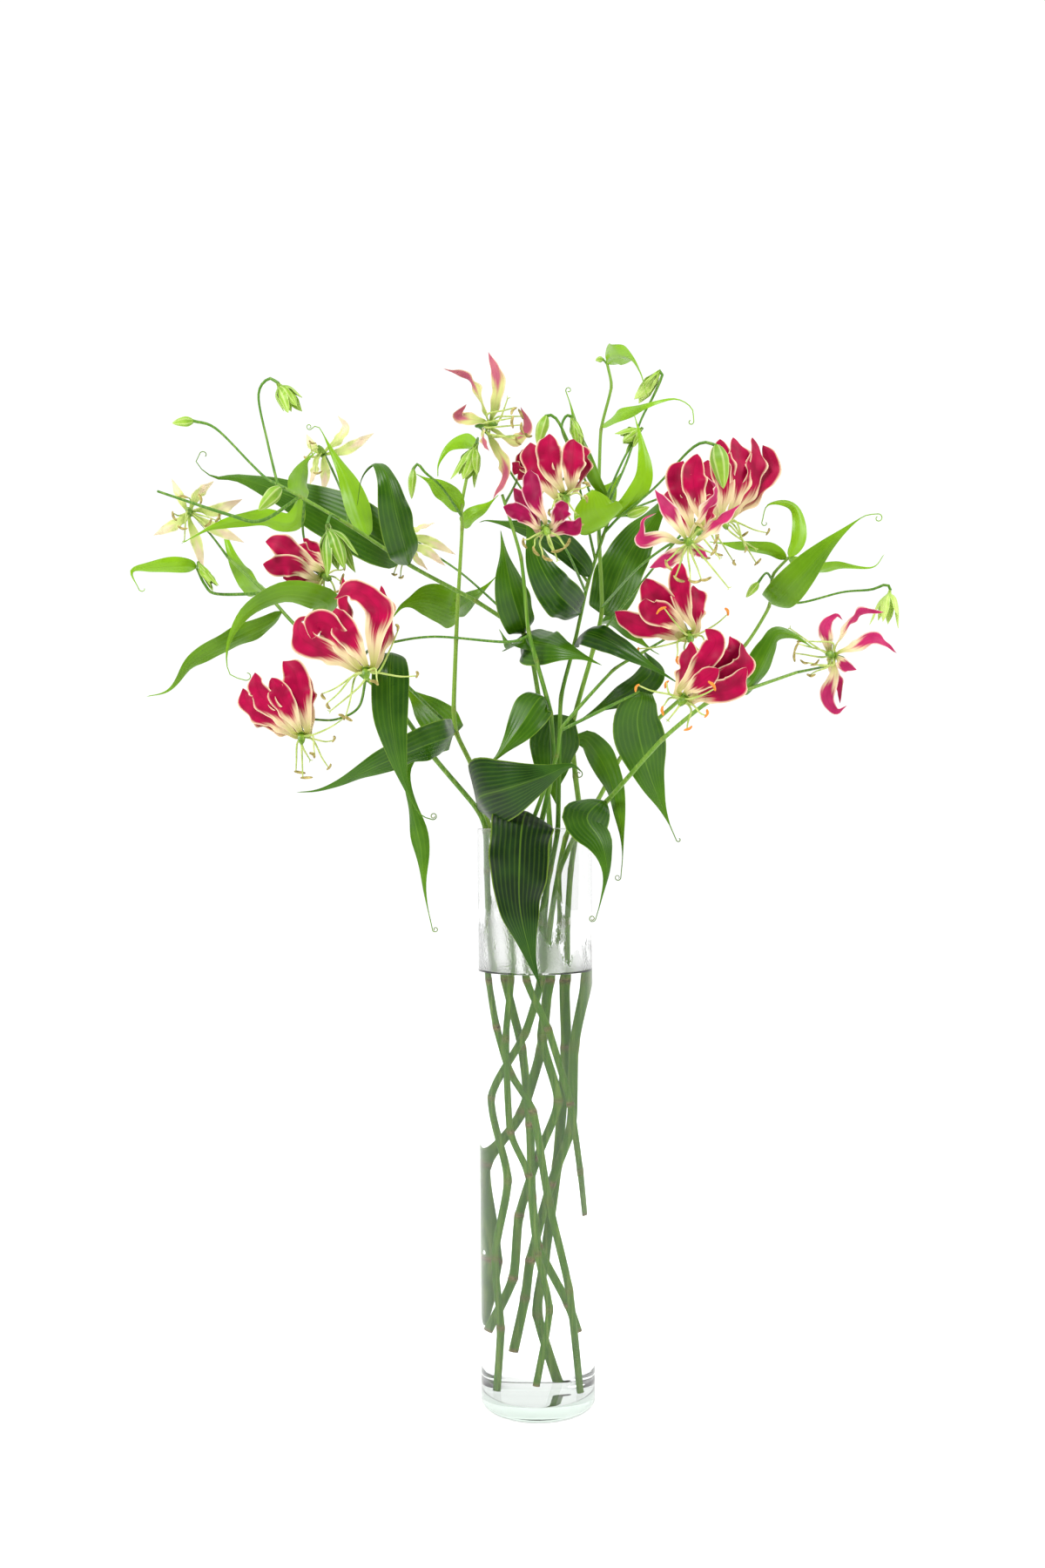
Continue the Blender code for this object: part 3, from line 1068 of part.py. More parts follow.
def build_stem(name, materials):
    line, wet_count = stem_line(*STEMS[name])
    rings = rings_along(line, stem_radii(line, wet_count), STEM_SIDES)
    pieces = [skin(name, stood(rings, FLOOR_THICKNESS + GAP))]
    lines = [line]
    for stem, spots in SHOOTS.values():
        if stem == name:
            lines.append(rooted([grown(*spot) for spot in spots], lines))
            pieces.append(tube("shoot", lines[-1], SHOOT_RADIUS, STALK_RADIUS, STALK_SIDES))
    for stem, breadth, stalk, tips in BUDS.values():
        if stem != name:
            continue
        places = rooted([grown(*spot) for spot in stalk], lines)
        lines.append(places)
        pieces.append(tube("stalk", lines[-1], STALK_RADIUS, STALK_RADIUS, STALK_SIDES))
        for tip in tips:
            foot = places[-1] - (places[-1] - places[-2]).normalized() * ROOT_DEPTH
            sides = OPEN_BUD_SIDES if len(tips) > 1 else BUD_SIDES
            pieces.append(spindle("bud", foot, grown(*tip), breadth * MM / 2, BUD_SHAPE, sides))
    for spec in FLOWERS.values():
        if spec["stem"] == name:
            behind, end = flower_line_end(grown(*spec["centre"]), Vector(spec["faces"]).normalized())
            places = rooted([grown(*point) for point in spec["stalk"]], lines)
            lines.append([*places, behind, end.lerp(behind, 0.3), end])
            radii = [STALK_RADIUS] * (len(lines[-1]) - 2) + [KNOB_RADIUS] * 2
            pieces.append(skin("stalk", rings_along(lines[-1], radii, STALK_SIDES)))
    for stem, breadth, roll, fold, spots in LEAVES.values():
        if stem == name:
            places = rooted([grown(*spot) for spot in spots], lines)
            pieces.append(leaf("leaf", breadth * MM, roll, fold, places))
    fuse(name, pieces, materials["stem"])
    return hole_for(name, line, wet_count)


def main():
    for obj in list(bpy.data.objects):
        bpy.data.objects.remove(obj)
    materials = {tone: principled("tepal_" + tone, colour, 0.45) for tone, colour in TONES.items()}
    materials["heart"] = principled("flower_heart", "#9AA83C", 0.5)
    materials["stem"] = principled("stem_and_leaf", "#3C6E1E", 0.4)
    build_vase(principled("clear_glass", "#F2F7F4", 0.02, transmission=1.0, alpha=0.35, ior=1.5))
    holes = [build_stem(name, materials) for name in STEMS]
    build_water(principled("water", "#F4FAF6", 0.0, transmission=1.0, alpha=0.4, ior=1.333), holes)
    for name, spec in FLOWERS.items():
        build_flower(name, spec, materials)


main()
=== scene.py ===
# %% [markdown]
# # Cut flame lilies in a tall glass cylinder
#
# A plain glass cylinder, half a metre tall, holds nine cut stems of flame lily. The stems stand crosswise in the
# water, zigzag at every node and spread out above the rim. Their long leaves end in tendrils, and the flowers throw
# their wavy petals back and their stamens out.
#
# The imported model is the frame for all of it. Each of its nodes gets one finely made piece that stands in its
# place, so everything here is measured from the frame's vase and drawn on the same upright grid as its stems.

import math
import random

import bmesh
import bpy
import numpy as np
from mathutils import Matrix, Vector


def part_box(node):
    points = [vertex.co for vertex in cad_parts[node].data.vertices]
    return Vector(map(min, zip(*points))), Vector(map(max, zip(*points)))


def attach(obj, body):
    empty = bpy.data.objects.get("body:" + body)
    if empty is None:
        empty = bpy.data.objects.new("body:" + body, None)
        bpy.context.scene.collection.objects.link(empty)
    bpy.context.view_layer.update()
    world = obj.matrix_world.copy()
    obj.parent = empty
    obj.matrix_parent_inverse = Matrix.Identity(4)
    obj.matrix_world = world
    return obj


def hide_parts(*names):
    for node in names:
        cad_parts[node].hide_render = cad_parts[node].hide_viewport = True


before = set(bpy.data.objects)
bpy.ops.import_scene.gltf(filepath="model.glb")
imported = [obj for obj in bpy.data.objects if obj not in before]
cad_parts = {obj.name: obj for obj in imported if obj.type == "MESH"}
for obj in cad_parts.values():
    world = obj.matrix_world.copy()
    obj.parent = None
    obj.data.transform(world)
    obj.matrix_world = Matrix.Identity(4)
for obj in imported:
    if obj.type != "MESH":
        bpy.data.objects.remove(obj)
bpy.ops.object.select_all(action="DESELECT")
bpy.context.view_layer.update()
random.seed(7)

# %% [markdown]
# ## Sizes taken from the frame
#
# The vase and the water are solids of revolution, so their boxes give every size that the finer pieces need. The
# wall and the rounding can't be read from a box. They are what a hand-drawn or machine-blown cylinder of this size
# usually has: a 3 mm wall and edges rounded by about the same.

# %% Sizes of the vase and the water
vase_low, vase_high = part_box("vase")
water_low, water_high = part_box("water")
VASE_RADIUS = (vase_high.x - vase_low.x) / 2
VASE_HEIGHT = vase_high.z
WALL = 0.003
ROUNDING = 0.003
FLOOR_TOP = water_low.z - 0.0003
WATER_TOP = water_high.z
MM = 0.001
print("vase:", VASE_RADIUS, VASE_HEIGHT, "floor", FLOOR_TOP, "water", WATER_TOP)

# %% [markdown]
# ## The drawing grid
#
# Plants have no dimensions to build from, so their places are drawn. The grid stands upright through the vase's
# axis and leans by less than half a degree, and an eye at the height of the rim looks at it. A place is written
# as column, row and depth: columns count to the right, rows count down, and depth is in millimetres behind the
# axis. A point with depth slides along the line from the eye, so it keeps its place in front view while the bunch
# gets its roundness. Above the rim the depths open out, because a bunch is widest there. Under water the round
# vase magnifies, so what is drawn where it is seen has to be drawn closer to the axis.

# %% The drawing grid
EYE = Vector((-0.0105, -1.190, 0.500))
GRID_STEP = 0.000763
AXIS_COLUMN = 614
RIM_ROW = 951
LEAN = 0.0068
BACK_SPREAD = 2.1
FRONT_SPREAD = 1.2
SPREAD_ROWS = 160


def place(column, row, depth):
    """The point seen at this column and row, this many millimetres behind the axis."""
    across = (column - AXIS_COLUMN - LEAN * (row - RIM_ROW)) * GRID_STEP
    up = VASE_HEIGHT + (RIM_ROW - row - LEAN * (column - AXIS_COLUMN)) * GRID_STEP
    on_grid = Vector((across, 0.0, up))
    return EYE + (on_grid - EYE) * (1 - depth * MM / EYE.y)


def grown(column, row, depth):
    """A place on a plant, its depth spread out above the rim."""
    share = min(1.0, max(0.0, (RIM_ROW - row) / SPREAD_ROWS))
    spread = BACK_SPREAD if depth > 0 else FRONT_SPREAD
    return place(column, row, depth * (1 + (spread - 1) * share))


def in_water(column, row, depth):
    """The point seen here through the round water."""
    axis = AXIS_COLUMN + LEAN * (row - RIM_ROW)
    squeeze = (3 - depth * MM / VASE_RADIUS) / 4
    return place(axis + (column - axis) * squeeze, row, depth)


def from_flower(centre, column, row, depth):
    """A place on a flower, its depth counted from the flower's centre."""
    return place(column, row, centre.y / MM + depth)


print("top of the axis on the grid:", place(AXIS_COLUMN, RIM_ROW, 0))

# %% [markdown]
# ## Two tools for the finishes
#
# Colours are written as they would be picked on a screen, and a renderer adds light in linear numbers, so one
# function turns them. Every finish is a small tree of nodes. One function adds a node, sets it up and links it,
# which keeps each tree readable from top to bottom.

# %% Colours and nodes
def colour(code):
    """The linear colour of an sRGB hex code."""
    channels = [int(code[i : i + 2], 16) / 255 for i in (1, 3, 5)]
    return [c / 12.92 if c <= 0.04045 else ((c + 0.055) / 1.055) ** 2.4 for c in channels] + [1.0]


def add(tree, kind, inputs=None, stops=(), **settings):
    """A node with its settings, the stops of its ramp, and its inputs: an output is linked and a value set."""
    node = tree.nodes.new(kind)
    for name, value in settings.items():
        setattr(node, name, value)
    for socket, value in (inputs or {}).items():
        if isinstance(value, bpy.types.NodeSocket):
            tree.links.new(value, node.inputs[socket])
        else:
            node.inputs[socket].default_value = colour(value) if isinstance(value, str) else value
    for i, (position, code) in enumerate(stops):
        stop = node.color_ramp.elements[i] if i < 2 else node.color_ramp.elements.new(position)
        stop.position = position
        stop.color = colour(code)
    return node


def new_finish(name):
    """An empty material with its output, and its tree."""
    material = bpy.data.materials.new(name)
    material.use_nodes = True
    material.node_tree.nodes.clear()
    return material, material.node_tree


print("leaf green in linear numbers:", colour("#2F6B1A"))

# %% [markdown]
# ## Glass
#
# Soda-lime glass, blown into a mould and fire-polished: perfectly smooth, grey-green where the eye looks through much
# of it, as in the floor and along the edges, with an index of 1.5. All it shows is what it bends and mirrors. Where
# water touches it there is no air between, so light crosses there by the ratio of the two indices, and the wall
# mirrors almost nothing. Just above the water the vase has sweated, and fine droplets inside frost it over in ragged
# patches. The droplets are far too fine to model, so roughness and a bump stand for them, in real millimetres.

# %% The finish of the glass
GLASS_INDEX = 1.5
WATER_INDEX = 1.333
SWEAT_HEIGHT = 0.050
DROPLET = 0.0016

soda_lime_glass, tree = new_finish("soda_lime_glass")
spot = add(tree, "ShaderNodeTexCoord").outputs["Object"]
axes = add(tree, "ShaderNodeSeparateXYZ", {0: spot})
flat = add(tree, "ShaderNodeCombineXYZ", {0: axes.outputs["X"], 1: axes.outputs["Y"]})
off_axis = add(tree, "ShaderNodeVectorMath", {0: flat.outputs[0]}, operation="LENGTH").outputs["Value"]
inner = add(tree, "ShaderNodeMath", {0: off_axis, 1: VASE_RADIUS - WALL / 2}, operation="LESS_THAN")
over_floor = add(tree, "ShaderNodeMath", {0: axes.outputs["Z"], 1: FLOOR_TOP / 2}, operation="GREATER_THAN")
under_water = add(tree, "ShaderNodeMath", {0: axes.outputs["Z"], 1: WATER_TOP}, operation="LESS_THAN")
inside_wall = add(tree, "ShaderNodeMath", {0: inner.outputs[0], 1: over_floor.outputs[0]}, operation="MULTIPLY")
wetted = add(tree, "ShaderNodeMath", {0: inside_wall.outputs[0], 1: under_water.outputs[0]}, operation="MULTIPLY")
index = add(
    tree, "ShaderNodeMapRange", {"Value": wetted.outputs[0], 3: GLASS_INDEX, 4: GLASS_INDEX / WATER_INDEX}
)
drawn_out = add(tree, "ShaderNodeMapping", {"Vector": spot, "Scale": (75.0, 75.0, 22.0)})
ragged = add(tree, "ShaderNodeTexNoise", {"Vector": drawn_out.outputs[0], "Scale": 1.0, "Detail": 3.0})
fading = add(
    tree, "ShaderNodeMapRange", {"Value": axes.outputs["Z"], 1: WATER_TOP, 2: WATER_TOP + SWEAT_HEIGHT, 3: 0.36, 4: 0.0}
)
leftward = add(tree, "ShaderNodeMapRange", {"Value": axes.outputs["X"], 1: -0.02, 2: 0.05, 3: 0.12, 4: -0.12})
uneven = add(tree, "ShaderNodeMath", {0: ragged.outputs["Fac"], 1: fading.outputs[0]}, operation="ADD")
tipped = add(tree, "ShaderNodeMath", {0: uneven.outputs[0], 1: leftward.outputs[0]}, operation="ADD")
patches = add(tree, "ShaderNodeMapRange", {"Value": tipped.outputs[0], 1: 0.60, 2: 0.72, 3: 0.0, 4: 1.0})
dry = add(tree, "ShaderNodeMath", {0: inside_wall.outputs[0], 1: wetted.outputs[0]}, operation="SUBTRACT")
sweat = add(tree, "ShaderNodeMath", {0: patches.outputs[0], 1: dry.outputs[0]}, operation="MULTIPLY")
above = add(
    tree, "ShaderNodeMath", {0: axes.outputs["Z"], 1: WATER_TOP + SWEAT_HEIGHT * 1.3}, operation="LESS_THAN"
)
kept = add(tree, "ShaderNodeMath", {0: sweat.outputs[0], 1: above.outputs[0]}, operation="MULTIPLY")
droplets = add(tree, "ShaderNodeTexVoronoi", {"Vector": spot, "Scale": 1 / DROPLET})
haze = add(tree, "ShaderNodeMath", {0: kept.outputs[0], 1: 0.32}, operation="MULTIPLY")
beads = add(
    tree, "ShaderNodeMath", {0: droplets.outputs["Distance"], 1: kept.outputs[0]}, operation="MULTIPLY"
)
bump = add(tree, "ShaderNodeBump", {"Height": beads.outputs[0], "Strength": 0.3, "Distance": 0.0006})
glass = add(
    tree, "ShaderNodeBsdfPrincipled",
    {
        "Base Color": "#FFFFFF", "Roughness": haze.outputs[0], "IOR": index.outputs[0], "Transmission Weight": 1.0,
        "Normal": bump.outputs[0],
    },
)
tint = add(tree, "ShaderNodeVolumeAbsorption", {"Color": "#DFEAE3", "Density": 16.0})
add(tree, "ShaderNodeOutputMaterial", {"Surface": glass.outputs[0], "Volume": tint.outputs[0]})
print("sweated for", SWEAT_HEIGHT, "m above the water")

# %% [markdown]
# ## The glass cylinder
#
# On the real vase the outside is one straight wall, the rim is ground flat and slightly rounded, and the floor is a
# solid slab, much thicker than the wall. A lathe profile would give it. It can also be made as a hand would cut it
# from a full cylinder: the top is inset by the wall, sunk down to the floor, and the sharp edges are bevelled. That
# keeps every surface exactly round, and the sizes stay easy to read.

# %% Helpers for choosing faces and edges by their place
def edit(piece):
    """The piece alone, in edit mode, with nothing chosen, and its mesh to choose from."""
    bpy.ops.object.select_all(action="DESELECT")
    bpy.context.view_layer.objects.active = piece
    piece.select_set(True)
    bpy.ops.object.mode_set(mode="EDIT")
    bpy.ops.mesh.select_all(action="DESELECT")
    return bmesh.from_edit_mesh(piece.data)


def choose_faces(piece, wanted):
    """Chooses the faces whose centre passes the test, and says how many."""
    shape = edit(piece)
    bpy.ops.mesh.select_mode(type="FACE")
    for face in shape.faces:
        face.select_set(wanted(face.calc_center_median(), face.normal))
    bmesh.update_edit_mesh(piece.data)
    return sum(face.select for face in shape.faces)


def choose_edges(piece, wanted):
    """Chooses the edges both of whose ends pass the test, and says how many."""
    shape = edit(piece)
    bpy.ops.mesh.select_mode(type="EDGE")
    for edge in shape.edges:
        edge.select_set(all(wanted(vert.co) for vert in edge.verts))
    bmesh.update_edit_mesh(piece.data)
    return sum(edge.select for edge in shape.edges)


def done_editing():
    bpy.ops.mesh.select_all(action="SELECT")
    bpy.ops.mesh.normals_make_consistent(inside=False)
    bpy.ops.object.mode_set(mode="OBJECT")


def radius_of(point):
    return math.hypot(point.x, point.y)


# %% The glass cylinder
ROUND_SIDES = 128
RIM_ROUNDING = 0.0007
inside = VASE_RADIUS - WALL
bpy.ops.mesh.primitive_cylinder_add(
    vertices=ROUND_SIDES, radius=VASE_RADIUS, depth=VASE_HEIGHT, location=(0, 0, VASE_HEIGHT / 2)
)
vase = bpy.context.object
vase.name = "glass_cylinder"
bpy.ops.object.transform_apply(location=True)
choose_faces(vase, lambda centre, normal: normal.z > 0.9)
bpy.ops.mesh.inset(thickness=WALL)
bpy.ops.mesh.extrude_region_move(TRANSFORM_OT_translate={"value": (0, 0, FLOOR_TOP - VASE_HEIGHT)})
done_editing()
for near_floor, rounding, cuts in ((True, ROUNDING, 5), (False, RIM_ROUNDING, 3)):
    found = choose_edges(vase, lambda point: (point.z < VASE_HEIGHT / 2) == near_floor)
    bpy.ops.mesh.bevel(offset=rounding, segments=cuts, affect="EDGES")
    done_editing()
    print("edges rounded by", rounding, "m:", found)
bpy.ops.object.shade_smooth_by_angle(angle=math.radians(35))
vase.data.materials.append(soda_lime_glass)

# %% [markdown]
# ## Water
#
# Still water shows itself by its edges: the surface climbs the glass in a narrow meniscus, which gathers a thin grey
# line, and the filled part of the vase works as a round lens. Water touches glass with no air between. Two surfaces
# in the same place would flicker, so the water reaches a tenth of a millimetre into the wall. What light does at
# that border is already in the glass, so only the free surface bends it here, and the sides let it straight through.

# %% The finish and the body of the water
WETTED = 0.0001
clear_water, tree = new_finish("clear_water")
spot = add(tree, "ShaderNodeTexCoord").outputs["Object"]
axes = add(tree, "ShaderNodeSeparateXYZ", {0: spot})
flat = add(tree, "ShaderNodeCombineXYZ", {0: axes.outputs["X"], 1: axes.outputs["Y"]})
off_axis = add(tree, "ShaderNodeVectorMath", {0: flat.outputs[0]}, operation="LENGTH").outputs["Value"]
off_wall = add(tree, "ShaderNodeMath", {0: off_axis, 1: VASE_RADIUS - WALL}, operation="LESS_THAN")
high_up = add(tree, "ShaderNodeMath", {0: axes.outputs["Z"], 1: WATER_TOP / 2}, operation="GREATER_THAN")
free = add(tree, "ShaderNodeMath", {0: off_wall.outputs[0], 1: high_up.outputs[0]}, operation="MULTIPLY")
index = add(tree, "ShaderNodeMapRange", {"Value": free.outputs[0], 3: 1.0, 4: WATER_INDEX})
water_surface = add(
    tree, "ShaderNodeBsdfPrincipled",
    {"Base Color": "#FFFFFF", "Roughness": 0.0, "IOR": index.outputs[0], "Transmission Weight": 1.0},
)
add(tree, "ShaderNodeOutputMaterial", {"Surface": water_surface.outputs[0]})

MENISCUS = ((0.0005, 0.0011), (0.0008, 0.0006), (0.0012, 0.0003))
climb = sum(drop for _, drop in MENISCUS)
low = FLOOR_TOP - WETTED
bpy.ops.mesh.primitive_cylinder_add(
    vertices=ROUND_SIDES, radius=inside + WETTED, depth=WATER_TOP - low, location=(0, 0, (WATER_TOP + low) / 2)
)
water = bpy.context.object
water.name = "still_water"
bpy.ops.object.transform_apply(location=True)
choose_faces(water, lambda centre, normal: normal.z > 0.9)
for inset, drop in MENISCUS:
    bpy.ops.mesh.inset(thickness=inset)
    bpy.ops.transform.translate(value=(0, 0, -drop))
done_editing()
found = choose_edges(water, lambda point: point.z < FLOOR_TOP + 0.001)
bpy.ops.mesh.bevel(offset=ROUNDING, segments=5, affect="EDGES")
done_editing()
bpy.ops.object.shade_smooth_by_angle(angle=math.radians(35))
water.data.materials.append(clear_water)
print("water climbs", climb, "m up the glass, and", found, "edges round off at the floor")

# %% [markdown]
# ## Lines that grow
#
# Every part of the plant follows a line: a stem between its nodes, a leaf along its midrib, a petal from its claw to
# its tip. A smooth curve goes through the drawn places, and points are spaced evenly along it. Each point then needs
# a side and a face direction. Taking them from the curve's own bend would make a blade spin where the curve is
# nearly straight, so they are set at one point and carried along without twist.

# %% Curves and the directions along them
def curve_through(places, steps=10):
    """A smooth curve through the places, with this many steps from one to the next."""
    spots = [Vector(spot) for spot in places]
    ends = [2 * spots[0] - spots[1], *spots, 2 * spots[-1] - spots[-2]]
    curve = []
    for i in range(1, len(spots)):
        a, b, c, d = ends[i - 1 : i + 3]
        for k in range(steps):
            t = k / steps
            bend = (2 * a - 5 * b + 4 * c - d) * t**2 + (3 * b - a - 3 * c + d) * t**3
            curve.append(0.5 * (2 * b + (c - a) * t + bend))
    return [*curve, spots[-1]]


def run_along(points):
    """The length covered at each point of a line."""
    steps = np.linalg.norm(np.diff(np.array(points), axis=0), axis=1)
    return np.concatenate([[0.0], np.cumsum(steps)])


def evenly(curve, count):
    """The curve as this many steps of equal length."""
    run = run_along(curve)
    goals = np.linspace(0, run[-1], count + 1)
    axes = [np.interp(goals, run, [point[k] for point in curve]) for k in range(3)]
    return [Vector(point) for point in zip(*axes)]


def profile(pairs, fractions):
    """A smooth outline through (fraction, breadth) pairs, read at these fractions."""
    curve = curve_through([Vector((share, breadth, 0)) for share, breadth in pairs])
    return np.maximum(0.0, np.interp(fractions, [p.x for p in curve], [p.y for p in curve]))


def ways_along(line):
    before = [line[0], *line[:-1]]
    after = [*line[1:], line[-1]]
    return [(b - a).normalized() for a, b in zip(before, after)]


def faces_along(line, facing, start):
    """The face direction at each point: set at one point, carried both ways without twist."""
    ways = ways_along(line)
    faces = [None] * len(line)
    faces[start] = (facing - ways[start] * facing.dot(ways[start])).normalized()
    for i in range(start + 1, len(line)):
        faces[i] = ways[i - 1].rotation_difference(ways[i]) @ faces[i - 1]
    for i in range(start - 1, -1, -1):
        faces[i] = ways[i + 1].rotation_difference(ways[i]) @ faces[i + 1]
    return faces


print("a quarter of the way along a test curve:", evenly(curve_through([(0, 0, 0), (1, 1, 0), (2, 0, 0)]), 4)[1])

# %% [markdown]
# ## Two blanks
#
# Leaves, petals and open buds are all thin blades, and stems, stalks and stamens are all round. So two blanks are
# made once and copied for everything, each copy with its own mesh. Both start as a flat grid whose rows run along
# the length. Rolled up, the grid is a tube. Pressed flat it is a blade with two faces and closed edges, which is
# better than a single sheet, because a blade then thins out at its margin and can turn into a round tendril.

# %% The blanks for blades and rods
def blank_of(name, columns, rows):
    """A flat grid from which pieces are shaped, with its number of columns and rows."""
    bpy.ops.mesh.primitive_grid_add(x_subdivisions=columns, y_subdivisions=rows, size=1)
    mesh = bpy.context.object.data.copy()
    bpy.ops.object.delete()
    mesh.name = name
    return mesh, columns, rows


BLADE_HALF = 12
blade_blank = blank_of("blade_blank", 2 * BLADE_HALF, 44)
rod_blank = blank_of("rod_blank", 10, 26)
stem_blank = blank_of("stem_blank", 12, 190)
round_the_blade = np.linspace(0, 1, 2 * BLADE_HALF + 1)
blade_across = np.where(round_the_blade <= 0.5, 4 * round_the_blade - 1, 3 - 4 * round_the_blade)
blade_side = np.where(round_the_blade <= 0.5, 1.0, -1.0)
for corner in blade_blank[0].uv_layers[0].data:
    corner.uv = ((blade_across[round(corner.uv.x * 2 * BLADE_HALF)] + 1) / 2, corner.uv.y)
first_row = [tuple(vert.co)[:2] for vert in blade_blank[0].vertices[:2]]
print("blade blank:", len(blade_blank[0].vertices), "points, its first row starts", first_row)

# %% [markdown]
# A piece is its blank laid along a line: every row of points moves to its place on the line, and out to the side
# and off the face by the amounts asked for. Four numbers are stored on the points, for the finishes to read: how
# young the tissue is, from old and dark to young and yellow-green, how scarred or withered it is, how many veins a
# blade shows across, and how broad the piece is there. Fine lines fade out where it is too narrow to carry them.

# %% Laying a blank along a line
FULL_DETAIL = 0.014


def laid(blank, name, line, ways, faces, across, lift, young=0.0, scarred=0.0, veins=1.0):
    """A copy of the blank laid along a line, with its own mesh."""
    mesh = blank[0].copy()
    sides = np.array([way.cross(face) for way, face in zip(ways, faces)])
    spots = np.array(line)[:, None] + across[..., None] * sides[:, None]
    spots = spots + lift[..., None] * np.array(faces)[:, None]
    mesh.vertices.foreach_set("co", spots.astype(np.float32).ravel())
    broad = np.minimum(1.0, 2 * np.abs(across).max(axis=1, keepdims=True) / FULL_DETAIL)
    for label, value in (("young", young), ("scarred", scarred), ("veins", veins), ("broad", broad)):
        numbers = np.broadcast_to(np.asarray(value, np.float32), across.shape)
        mesh.attributes.new(label, "FLOAT", "POINT").data.foreach_set("value", numbers.ravel().copy())
    mesh.update()
    piece = bpy.data.objects.new(name, mesh)
    bpy.context.scene.collection.objects.link(piece)
    return piece


def rod(name, places, radii, finish, blank=rod_blank, lobes=0, groove=0.0, **tissue):
    """A round piece along a smooth line. Its ends are cut flat, because their last rows close on one spot."""
    _, columns, rows = blank
    core = evenly(curve_through(places), rows - 2)
    ways = ways_along(core)
    faces = faces_along(core, ways[0].orthogonal(), 0)
    share = np.linspace(0, 1, rows - 1)
    radius = radii(share, core) if callable(radii) else profile(radii, share)
    radius = np.concatenate([[0.0], radius, [0.0]])
    turn = np.linspace(0, 2 * np.pi, columns + 1)
    rim = radius[:, None] * (1 + groove * np.cos(lobes * turn))
    ends = [[values[0], *values, values[-1]] for values in (core, ways, faces)]
    tissue = {label: at(share, core) if callable(at) else at for label, at in tissue.items()}
    tissue = {
        label: value if np.ndim(value) == 0 else np.concatenate([value[:1], value, value[-1:]])[:, None]
        for label, value in tissue.items()
    }
    piece = laid(blank, name, *ends, rim * np.sin(turn), rim * np.cos(turn), **tissue)
    piece.data.materials.append(finish)
    return piece


BLADE_THICKNESS = 0.0005
# Real veins stand about 2 mm apart. They are drawn twice as far apart, or a picture of the whole bunch loses them.
VEIN_SPACING = 0.0042


def blade(name, line, faces, breadths, finish, fold=0.0, ripple=0.0, waves=4.0, phase=0.0, **tissue):
    """A thin blade along a line. breadths gives its whole breadth at each row; its margins ripple."""
    _, _, rows = blade_blank
    ways = ways_along(line)
    half = np.asarray(breadths)[:, None] / 2
    share = np.linspace(0, 1, rows + 1)[:, None]
    edge = np.abs(blade_across)
    fullness = half / max(half.max(), 1e-6)
    swing = np.sin(2 * np.pi * waves * share + phase + np.where(blade_across > 0, 1.9, 0.0))
    swing = swing + 0.4 * np.sin(2 * np.pi * waves * 1.7 * share + 2 * phase)
    thick = np.minimum(BLADE_THICKNESS, half) + 0.3 * MM * np.exp(-((blade_across / 0.12) ** 2)) * fullness
    lift = fold * half * edge**1.2 + ripple * swing * edge**2 * fullness
    lift = lift + blade_side * thick / 2 * np.sqrt(np.maximum(0.0, 1 - edge**6))
    across = half * blade_across * (1 + 0.03 * swing)
    veins = max(3, round(2 * half.max() / VEIN_SPACING))
    piece = laid(blade_blank, name, line, ways, faces, across, lift, veins=veins, **tissue)
    piece.data.materials.append(finish)
    return piece


print("a blade is", BLADE_THICKNESS, "m thick beside its midrib")

# %% [markdown]
# When its pieces are ready, a plant part is joined into one object. Joining brings together the seams and tips that
# the blanks left open: points in the same place become one, and the faces are turned outwards. The piece then
# rides on the body of the frame and stands for one node of it.
#
# The glass and the water need one thing more. Smooth shading blends the direction of a wall half a metre tall with
# that of the tiny rounding at its end, and a tilt of a few degrees turns the edges of the glass grey. Weighting the
# normals by area keeps the wall true.

# %% Joining pieces into one that stands for a node
def join_as(name, pieces, node):
    """One piece from several, closed, smooth and standing for a node of the frame."""
    bpy.ops.object.select_all(action="DESELECT")
    for piece in pieces:
        piece.select_set(True)
    bpy.context.view_layer.objects.active = pieces[0]
    if len(pieces) > 1:
        bpy.ops.object.join()
    whole = pieces[0]
    whole.name = name
    edit(whole)
    bpy.ops.mesh.select_all(action="SELECT")
    bpy.ops.mesh.remove_doubles(threshold=0.000002)
    bpy.ops.mesh.normals_make_consistent(inside=False)
    bpy.ops.object.mode_set(mode="OBJECT")
    bpy.ops.object.shade_smooth_by_angle(angle=math.radians(55))
    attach(whole, "root")
    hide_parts(node)
    return whole


def keep_walls_true(piece):
    """Gives the long walls their exact normals, so that the small roundings beside them don't tilt them."""
    bpy.context.view_layer.objects.active = piece
    weighted = piece.modifiers.new("true_walls", "WEIGHTED_NORMAL")
    weighted.mode = "FACE_AREA"
    weighted.weight = 100
    weighted.keep_sharp = True
    bpy.ops.object.modifier_apply(modifier=weighted.name)


keep_walls_true(join_as("glass_cylinder", [vase], "vase"))
keep_walls_true(join_as("still_water", [water], "water"))
print("glass and water stand for their nodes")
